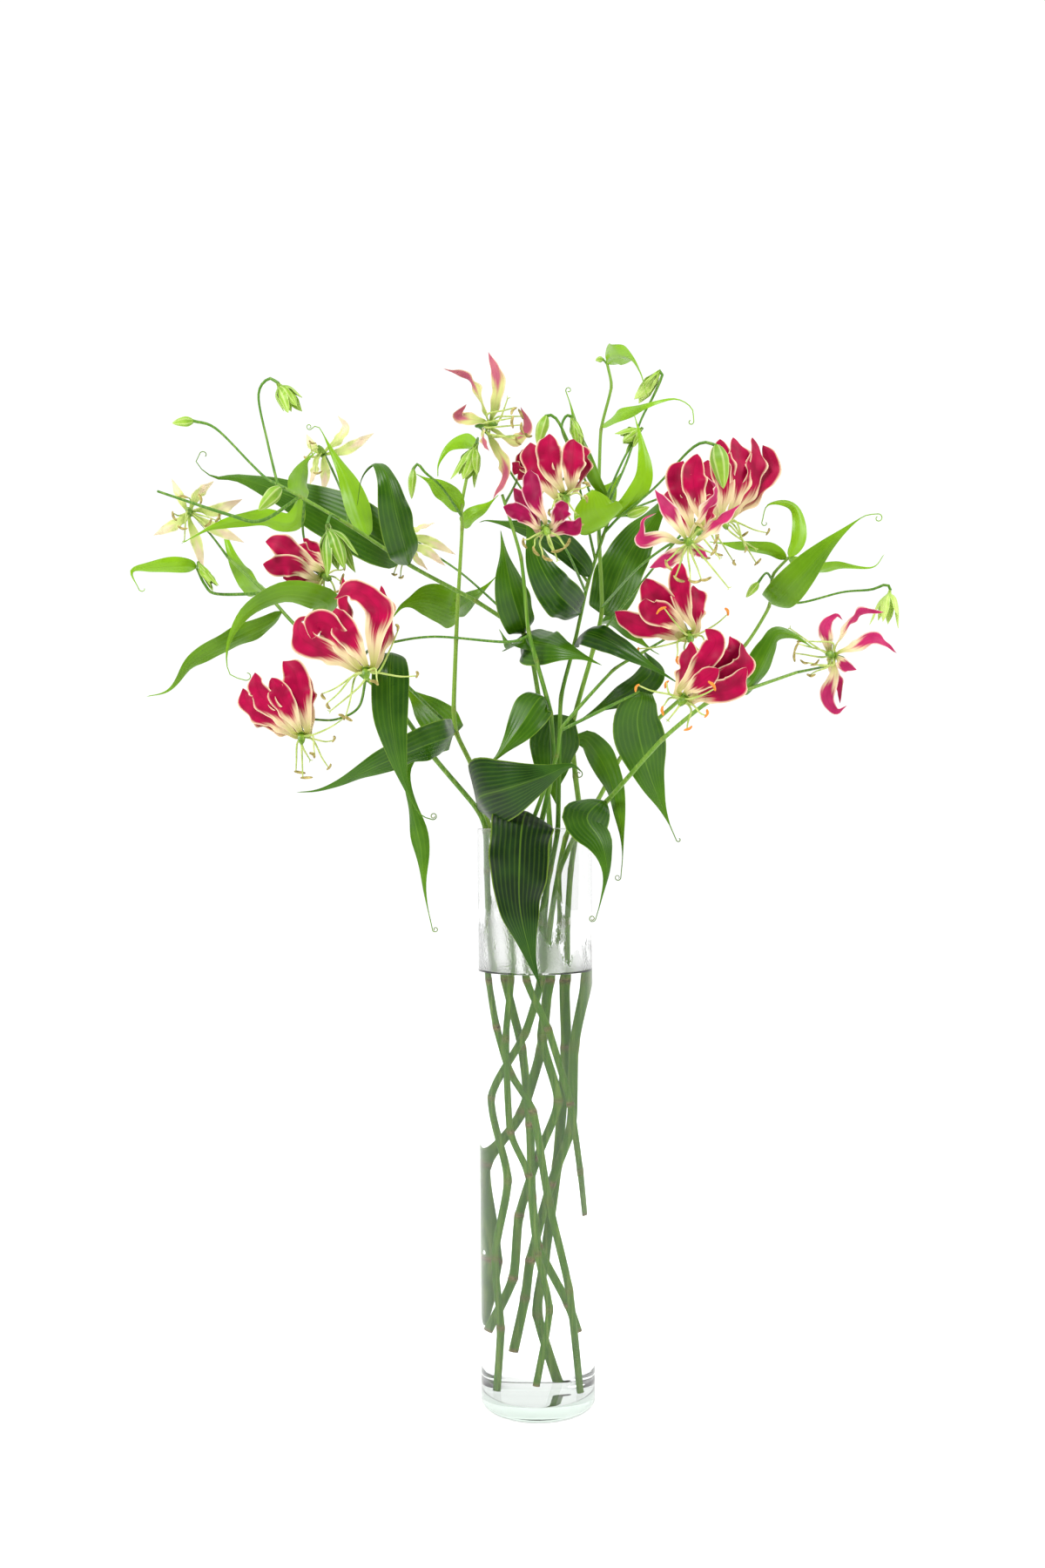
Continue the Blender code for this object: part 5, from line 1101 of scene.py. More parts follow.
def spiral(line, turns, first_radius):
    """Points that carry a line on into a flat spiral, seen from the front."""
    end = line[-1]
    towards_eye = (EYE - end).normalized()
    way = (line[-1] - line[-4]).normalized()
    way = (way - towards_eye * way.dot(towards_eye)).normalized()
    side = way.cross(towards_eye) * (1 if turns > 0 else -1)
    steps = int(abs(turns) * 20)
    points, spot, heading = [], end, 0.0
    for k in range(steps):
        radius = first_radius * (1 - 0.62 * k / steps)
        heading += 2 * math.pi / 20
        spot = spot + (way * math.cos(heading) + side * math.sin(heading)) * radius * 2 * math.pi / 20
        spot = spot + towards_eye * 0.00006
        points.append(spot)
    return points


def make_leaf(name, lines):
    stem, breadth, roll, fold, young, curl, spots = LEAVES[name]
    places = rooted([grown(*spot) for spot in spots], lines)
    line = curve_through(places)
    blade_length = run_along(line)[-1]
    if curl:
        line = line + spiral(line, curl[0], curl[1] * MM)
    rows = blade_blank[2]
    # More rows lie in the tendril than its length asks for, because it bends most.
    run = run_along(line)
    goals = np.linspace(0, 1, rows + 1)
    if curl:
        share = blade_length / run[-1]
        goals = np.concatenate([np.linspace(0, share, rows - 16, endpoint=False), np.linspace(share, 1, 17)])
    axes = [np.interp(goals * run[-1], run, [point[k] for point in line]) for k in range(3)]
    line = [Vector(point) for point in zip(*axes)]
    along = goals * run[-1] / blade_length
    long_leaf = len(spots) + (1 if curl else 0) >= LONG_LEAF_PLACES
    outline = OUTLINES.get(name, LONG_LEAF_SHAPE if long_leaf else LEAF_SHAPE)
    shape = profile(outline, np.minimum(1.0, along))
    widest = int(np.argmax(shape))
    breadth = breadth * MM * (1 - line[widest].y / EYE.y)
    way = ways_along(line)[widest]
    facing = Matrix.Rotation(math.radians(roll), 3, way) @ (EYE - line[widest])
    faces = faces_along(line, facing, widest)
    breadths = np.maximum(breadth * shape, TENDRIL * np.clip(1.3 - 0.5 * along, 0.55, 1.0))
    breadths[0] = 0.6 * MM
    breadths[-1] = 0.0
    waves = max(1.5, blade_length / 0.045)
    yellowing = np.clip((along - 0.55) / 0.45, 0, 1)[:, None] * 0.25
    dry = np.clip((along - 0.97) / 0.2, 0, 1)[:, None] * (0.5 if young < 0.4 else 0.15)
    return blade(
        name, line, faces, breadths, leaf_blade, fold=-fold, ripple=LEAF_RIPPLE, waves=waves,
        phase=random.uniform(0, 6), young=young + yellowing, scarred=dry,
    )


for name, leaf in LEAVES.items():
    pieces_of[leaf[0]].append(make_leaf(name, lines_of[leaf[0]]))
print("leaves made:", len(LEAVES))

# %% [markdown]
# ## Buds
#
# A closed bud hangs nodding from a hooked stalk: six narrow petals pressed together into a spindle with six ribs,
# green with cream ribs while it is young. When it opens, the petals come free one after another and droop as
# narrow green blades. The first kind is a rod with six lobes, the second a handful of blades from one hub.

# %% The finish of the buds
bud_skin, tree = new_finish("bud_skin")
spots = add(tree, "ShaderNodeTexCoord")
uv = add(tree, "ShaderNodeSeparateXYZ", {0: spots.outputs["UV"]})
age = add(tree, "ShaderNodeAttribute", attribute_name="young")
count = add(tree, "ShaderNodeAttribute", attribute_name="veins")
rounds = add(tree, "ShaderNodeMath", {0: uv.outputs["X"], 1: count.outputs["Fac"]}, operation="MULTIPLY")
turns = add(tree, "ShaderNodeMath", {0: rounds.outputs[0], 1: 2 * math.pi}, operation="MULTIPLY")
ribs = add(tree, "ShaderNodeMath", {0: turns.outputs[0]}, operation="COSINE")
crest = add(tree, "ShaderNodeMapRange", {"Value": ribs.outputs[0], 1: 0.2, 2: 1.0, 3: 0.0, 4: 0.5})
cloudy = add(
    tree, "ShaderNodeTexNoise", {"Vector": spots.outputs["Object"], "Scale": 160.0, "Detail": 2.0}
)
mixed = add(
    tree, "ShaderNodeMath", {0: cloudy.outputs["Fac"], 1: 0.3, 2: age.outputs["Fac"]}, operation="MULTIPLY_ADD"
)
green = add(
    tree, "ShaderNodeValToRGB", {0: mixed.outputs[0]},
    stops=((0.1, "#34600A"), (0.40, "#5E8C12"), (0.7, "#8CB432"), (1.0, "#BCD670")),
)
body = add(
    tree, "ShaderNodeMix", {0: crest.outputs[0], 6: green.outputs[0], 7: "#D2DC94"}, data_type="RGBA"
)
waxed = add(
    tree, "ShaderNodeBsdfPrincipled",
    {"Base Color": body.outputs[2], "Roughness": 0.42, "Specular IOR Level": 0.3},
)
add(tree, "ShaderNodeOutputMaterial", {"Surface": waxed.outputs[0]})
print("bud skin has", len(tree.nodes), "nodes")

# %% [markdown]
# ## The buds
#
# A bud is written as its stem, its breadth in millimetres, the places of its stalk, and the tips of its petals. One
# tip makes a closed bud, and several make an opening one.

# %% The buds
BUDS = {
    "top_left_open": (
        "stem_left_tall", 11,
        ((319, 556, -26), (308, 510, -22), (297, 455, -20), (308, 435, -20), (320, 440, -22)),
        ((339, 480, -26), (352, 464, -22), (328, 474, -16)),
    ),
    "top_left_long": (
        "stem_left_tall", 8,
        ((322, 558, -26), (306, 549, -22), (289, 533, -18), (248, 492, -14), (221, 483, -14)),
        ((198, 486, -14),),
    ),
    "half_open_left": (
        "stem_left_tall", 13,
        ((388, 596, -29), (380, 592, -48), (376, 602, -60)),
        ((381, 668, -66), (400, 664, -60), (417, 654, -52), (376, 650, -50)),
    ),
    "left_round": (
        "stem_left_tall", 12,
        ((326, 560, -27), (322, 560, -38)),
        ((297, 586, -42),),
    ),
    "young_drop": (
        "stem_left_low", 7,
        ((528, 592, 7), (508, 560, -20), (489, 543, -24), (480, 533, -24), (474, 540, -24)),
        ((473, 573, -24),),
    ),
    "young_open": (
        "stem_left_low", 13,
        ((548, 510, -8), (549, 503, -22), (547, 510, -32)),
        ((522, 550, -34), (533, 560, -38), (546, 558, -30), (530, 552, -22)),
    ),
    "crown_long": (
        "stem_crown", 10,
        ((690, 622, -10), (678, 567, -32), (648, 497, -46), (636, 478, -46), (626, 478, -46)),
        ((618, 513, -46),),
    ),
    "crown_split": (
        "stem_crown", 10,
        ((665, 535, -39), (646, 496, -34), (650, 478, -32), (658, 479, -32)),
        ((663, 516, -32), (672, 511, -28)),
    ),
    "crown_open": (
        "stem_crown", 11,
        ((698, 568, -12), (716, 528, -6), (732, 500, -4), (738, 491, -4)),
        ((704, 503, -8), (710, 514, -4), (726, 512, 0)),
    ),
    "crown_tall": (
        "stem_crown", 13,
        ((700, 580, -12), (720, 530, 6), (736, 483, 10), (750, 456, 10), (761, 430, 10), (757, 425, 10)),
        ((728, 460, 10), (736, 461, 14)),
    ),
    "tip_tiny": (
        "stem_tall_right", 5,
        ((697, 418, 26), (692, 412, 26)),
        ((684, 414, 26),),
    ),
    "crown_large": (
        "stem_crown", 14,
        (
            (694, 612, -10), (713, 592, -15), (752, 560, -34), (790, 519, -52), (808, 508, -58),
            (824, 512, -62),
        ),
        ((831, 561, -64),),
    ),
    "crown_pale": (
        "stem_crown", 8,
        ((713, 592, -14), (722, 592, -18)),
        ((746, 582, -20),),
    ),
    "far_left_split": (
        "stem_far_left", 8,
        ((226, 652, 8), (228, 646, 0)),
        ((252, 674, -6), (243, 677, -2)),
    ),
    "low_right_short": (
        "stem_right_low", 7,
        ((886, 665, 3), (880, 658, -6), (870, 670, -8)),
        ((857, 686, -8),),
    ),
    "far_right_open": (
        "stem_right_low", 8,
        ((886, 690, 8), (919, 692, 12), (967, 680, 12), (1000, 677, 10), (1018, 671, 8), (1023, 678, 8)),
        ((1006, 719, 6), (1028, 722, 10), (1016, 716, 2)),
    ),
}
print(len(BUDS), "buds")

# %% Stalks, closed buds and opening buds
BUD_SHAPE = ((0, 0.35), (0.12, 0.72), (0.34, 1.0), (0.68, 0.74), (0.9, 0.34), (1.0, 0.03))
OPEN_TEPAL_SHAPE = ((0, 0.25), (0.2, 0.62), (0.55, 1.0), (0.82, 0.62), (1.0, 0.0))
BUD_YOUTH = {"crown_tall": 0.8, "far_right_open": 0.85, "half_open_left": 0.4, "left_round": 0.5, "crown_large": 0.5}


def opening_bud(name, hub, ends, breadth, young):
    """Six narrow petals that have come apart into a loose bell, from one hub towards the drawn tips."""
    middle = sum(ends, Vector()) / len(ends)
    axis = middle - hub
    spread = max((end - middle).length for end in ends)
    side = (ends[0] - middle).normalized()
    side = (side - axis.normalized() * side.dot(axis.normalized())).normalized()
    other = axis.normalized().cross(side)
    petals = []
    for k in range(6):
        turn = 2 * math.pi * k / 6
        out = side * math.cos(turn) + other * math.sin(turn)
        reach = 0.9 + 0.14 * math.cos(2.3 * k)
        bend = hub + axis * 0.4 * reach + out * (0.55 * spread + 0.0012)
        tip = hub + axis * reach + out * spread * (0.75 + 0.25 * math.cos(1.7 * k))
        line = evenly(curve_through([hub, hub + axis * 0.1 + out * 0.0012, bend, tip]), blade_blank[2])
        breadths = breadth * profile(OPEN_TEPAL_SHAPE, np.linspace(0, 1, len(line)))
        youth = young - 0.25 + 0.3 * np.linspace(0, 1, len(line))[:, None]
        petals.append(
            blade(
                name, line, faces_along(line, out, 20), breadths, bud_skin, fold=-0.45, ripple=0.0004, waves=2.0,
                phase=float(k), young=youth,
            )
        )
    return petals


for name, (stem, breadth, stalk, tips) in BUDS.items():
    places = rooted([grown(*spot) for spot in stalk], lines_of[stem])
    lines_of[stem].append(curve_through(places, 4))
    thin_end = ((0, STALK_RADIUS * 1.1), (0.6, STALK_RADIUS * 0.9), (1, STALK_RADIUS * 1.25))
    pieces_of[stem].append(rod(name + "_stalk", places, thin_end, stem_skin, young=0.35))
    hub = places[-1] - (places[-1] - places[-2]).normalized() * MM
    young = BUD_YOUTH.get(name, 0.6)
    ends = [grown(*tip) for tip in tips]
    if len(ends) == 1:
        bent = hub.lerp(ends[0], 0.5) + (hub - places[-2]).normalized() * 0.0008
        shape = tuple((share, breadth * MM / 2 * wide) for share, wide in BUD_SHAPE)
        bud = rod(
            name, [hub, bent, ends[0]], shape, bud_skin, stem_blank, lobes=6, groove=0.10, veins=6.0,
            young=lambda share, core: young - 0.2 + 0.3 * share,
        )
        pieces_of[stem].append(bud)
    else:
        pieces_of[stem] += opening_bud(name, hub, ends, breadth * MM, young)
print("stalked buds made:", len(BUDS))

# %% [markdown]
# ## Petal skin
#
# The six petals are silky and wavy. On a red flower the blade is crimson, its margin a thin cream line, and its foot
# cream to yellow-green, with crimson streaks running down into it. As the flower ages the red deepens to magenta,
# and a flower that has just opened is cream and green with a flush at the tips. One function therefore makes
# all the finishes from their colours. Everything is placed by the petal's own map: across it from margin to margin,
# and along it from foot to tip.

# %% The finish of the petals
def petal_skin(name, blade_colour, deep_colour, margin_colour, foot_colour, throat_colour, foot_reach, edging):
    """Silky petal tissue: a coloured blade with a pale margin, running down in streaks into a pale foot."""
    finish, tree = new_finish(name)
    spots = add(tree, "ShaderNodeTexCoord")
    uv = add(tree, "ShaderNodeSeparateXYZ", {0: spots.outputs["UV"]})
    aside = add(tree, "ShaderNodeMath", {0: uv.outputs["X"], 1: 0.5}, operation="SUBTRACT")
    off_rib = add(tree, "ShaderNodeMath", {0: aside.outputs[0]}, operation="ABSOLUTE")
    count = add(tree, "ShaderNodeAttribute", attribute_name="veins")
    numbered = add(tree, "ShaderNodeMath", {0: uv.outputs["X"], 1: count.outputs["Fac"]}, operation="MULTIPLY")
    drawn = add(tree, "ShaderNodeCombineXYZ", {0: numbered.outputs[0], 1: uv.outputs["Y"]})
    stretched = add(tree, "ShaderNodeMapping", {"Vector": drawn.outputs[0], "Scale": (2.4, 1.6, 1.0)})
    streaks = add(tree, "ShaderNodeTexNoise", {"Vector": stretched.outputs[0], "Scale": 1.0, "Detail": 1.0})
    cloudy = add(
        tree, "ShaderNodeTexNoise", {"Vector": spots.outputs["Object"], "Scale": 90.0, "Detail": 1.0}
    )
    # The pale foot reaches further up beside the margins, and streaks push its border up and down along the veins.
    sided = add(
        tree, "ShaderNodeMath", {0: off_rib.outputs[0], 1: -0.45, 2: uv.outputs["Y"]}, operation="MULTIPLY_ADD"
    )
    streaked = add(
        tree, "ShaderNodeMath", {0: streaks.outputs["Fac"], 1: 0.34, 2: sided.outputs[0]},
        operation="MULTIPLY_ADD",
    )
    risen = add(
        tree, "ShaderNodeMapRange",
        {"Value": streaked.outputs[0], 1: foot_reach, 2: foot_reach + 0.20, 3: 0.0, 4: 1.0},
        interpolation_type="SMOOTHSTEP",
    )
    throat = add(
        tree, "ShaderNodeMapRange", {"Value": uv.outputs["Y"], 1: 0.03, 2: foot_reach * 0.75, 3: 1.0, 4: 0.0}
    )
    foot = add(
        tree, "ShaderNodeMix", {0: throat.outputs[0], 6: foot_colour, 7: throat_colour}, data_type="RGBA"
    )
    tone = add(tree, "ShaderNodeMapRange", {"Value": cloudy.outputs["Fac"], 1: 0.35, 2: 0.7, 3: 0.0, 4: 0.7})
    coloured = add(
        tree, "ShaderNodeMix", {0: tone.outputs[0], 6: blade_colour, 7: deep_colour}, data_type="RGBA"
    )
    veins = add(tree, "ShaderNodeMapRange", {"Value": streaks.outputs["Fac"], 1: 0.5, 2: 0.8, 3: 0.0, 4: 0.3})
    veined = add(
        tree, "ShaderNodeMix", {0: veins.outputs[0], 6: coloured.outputs[2], 7: deep_colour}, data_type="RGBA"
    )
    petal = add(
        tree, "ShaderNodeMix", {0: risen.outputs[0], 6: foot.outputs[2], 7: veined.outputs[2]}, data_type="RGBA"
    )
    wavy = add(
        tree, "ShaderNodeMath", {0: cloudy.outputs["Fac"], 1: 0.05, 2: off_rib.outputs[0]},
        operation="MULTIPLY_ADD",
    )
    margin = add(
        tree, "ShaderNodeMapRange",
        {"Value": wavy.outputs[0], 1: 0.5 - edging, 2: 0.525, 3: 0.0, 4: 0.95},
        interpolation_type="SMOOTHSTEP",
    )
    edged = add(
        tree, "ShaderNodeMix", {0: margin.outputs[0], 6: petal.outputs[2], 7: margin_colour}, data_type="RGBA"
    )
    keel = add(tree, "ShaderNodeMapRange", {"Value": off_rib.outputs[0], 1: 0.0, 2: 0.035, 3: 0.35, 4: 0.0})
    keeled = add(
        tree, "ShaderNodeMix", {0: keel.outputs[0], 6: edged.outputs[2], 7: deep_colour}, data_type="RGBA"
    )
    relief = add(
        tree, "ShaderNodeBump", {"Height": streaks.outputs["Fac"], "Strength": 0.3, "Distance": 0.0004}
    )
    silk = add(
        tree, "ShaderNodeBsdfPrincipled",
        {
            "Base Color": keeled.outputs[2], "Roughness": 0.5, "Specular IOR Level": 0.15,
            "Normal": relief.outputs[0],
        },
    )
    glow = add(
        tree, "ShaderNodeBsdfTranslucent", {"Color": keeled.outputs[2], "Normal": relief.outputs[0]}
    )
    both = add(tree, "ShaderNodeMixShader", {0: 0.22, 1: silk.outputs[0], 2: glow.outputs[0]})
    add(tree, "ShaderNodeOutputMaterial", {"Surface": both.outputs[0]})
    return finish


petal_skins = {
    "red": petal_skin(
        "petal_crimson", "#BE0048", "#8A0030", "#F8E2BC", "#EAD6A8", "#A8B038", 0.34, 0.08
    ),
    "magenta": petal_skin(
        "petal_magenta", "#A8084E", "#840438", "#EFC0BC", "#E4C8A4", "#A0A040", 0.30, 0.07
    ),
    "pink": petal_skin(
        "petal_pink", "#C8306C", "#A81854", "#F4DCCC", "#EEDCB0", "#A8BC40", 0.38, 0.11
    ),
    "blush": petal_skin(
        "petal_blush", "#C8707C", "#B04868", "#EED8B4", "#D4D488", "#84A830", 0.52, 0.11
    ),
    "pale": petal_skin(
        "petal_pale", "#F0E6BE", "#E6C8B4", "#F8F0D8", "#DCE494", "#9CBC3C", 0.56, 0.08
    ),
}
print("petal skins:", ", ".join(petal_skins))

# %% [markdown]
# ## The heart of a flower
#
# In the middle sits a green ovary of three chambers. Six pale green filaments spread from under it like spokes, each
# with an anther hung across its end, and the style leaves the ovary at a right angle and splits in three. The skins
# are close to those of the stem, but paler. The anthers are olive-brown with a cream slit, and orange where they
# have shed their pollen.

# %% The finishes of the heart
def plain_tissue(name, dark, light, grain, roughness):
    """Tissue mottled between two colours, its grain in metres."""
    finish, tree = new_finish(name)
    spots = add(tree, "ShaderNodeTexCoord")
    mottle = add(
        tree, "ShaderNodeTexNoise", {"Vector": spots.outputs["Object"], "Scale": 1 / grain, "Detail": 3.0}
    )
    mixed = add(
        tree, "ShaderNodeValToRGB", {0: mottle.outputs["Fac"]}, stops=((0.3, dark), (0.7, light))
    )
    relief = add(
        tree, "ShaderNodeBump", {"Height": mottle.outputs["Fac"], "Strength": 0.3, "Distance": grain / 8}
    )
    shader = add(
        tree, "ShaderNodeBsdfPrincipled",
        {"Base Color": mixed.outputs[0], "Roughness": roughness, "Normal": relief.outputs[0]},
    )
    add(tree, "ShaderNodeOutputMaterial", {"Surface": shader.outputs[0]})
    return finish


ovary_skin = plain_tissue("ovary_skin", "#446E10", "#84A82C", 0.004, 0.4)
filament_skin = plain_tissue("filament_skin", "#8CA83C", "#C4CE78", 0.008, 0.45)
anther_skin = plain_tissue("anther_skin", "#6E6220", "#C0B068", 0.003, 0.8)
pollen_skin = plain_tissue("pollen_skin", "#C9661A", "#EBA03A", 0.0012, 0.9)
cork_skin = plain_tissue("cork_skin", "#33261A", "#6F5636", 0.0015, 0.8)
print("heart finishes: ovary, filament, anther, pollen")

# %% [markdown]
# ## The flowers
#
# A flower is written as its centre, the direction it faces, its tone, the stem that bears it and the places of
# its stalk. Each petal then has its breadth in millimetres and its places, with depths counted from the centre,
# and so have the anthers and the end of the style.

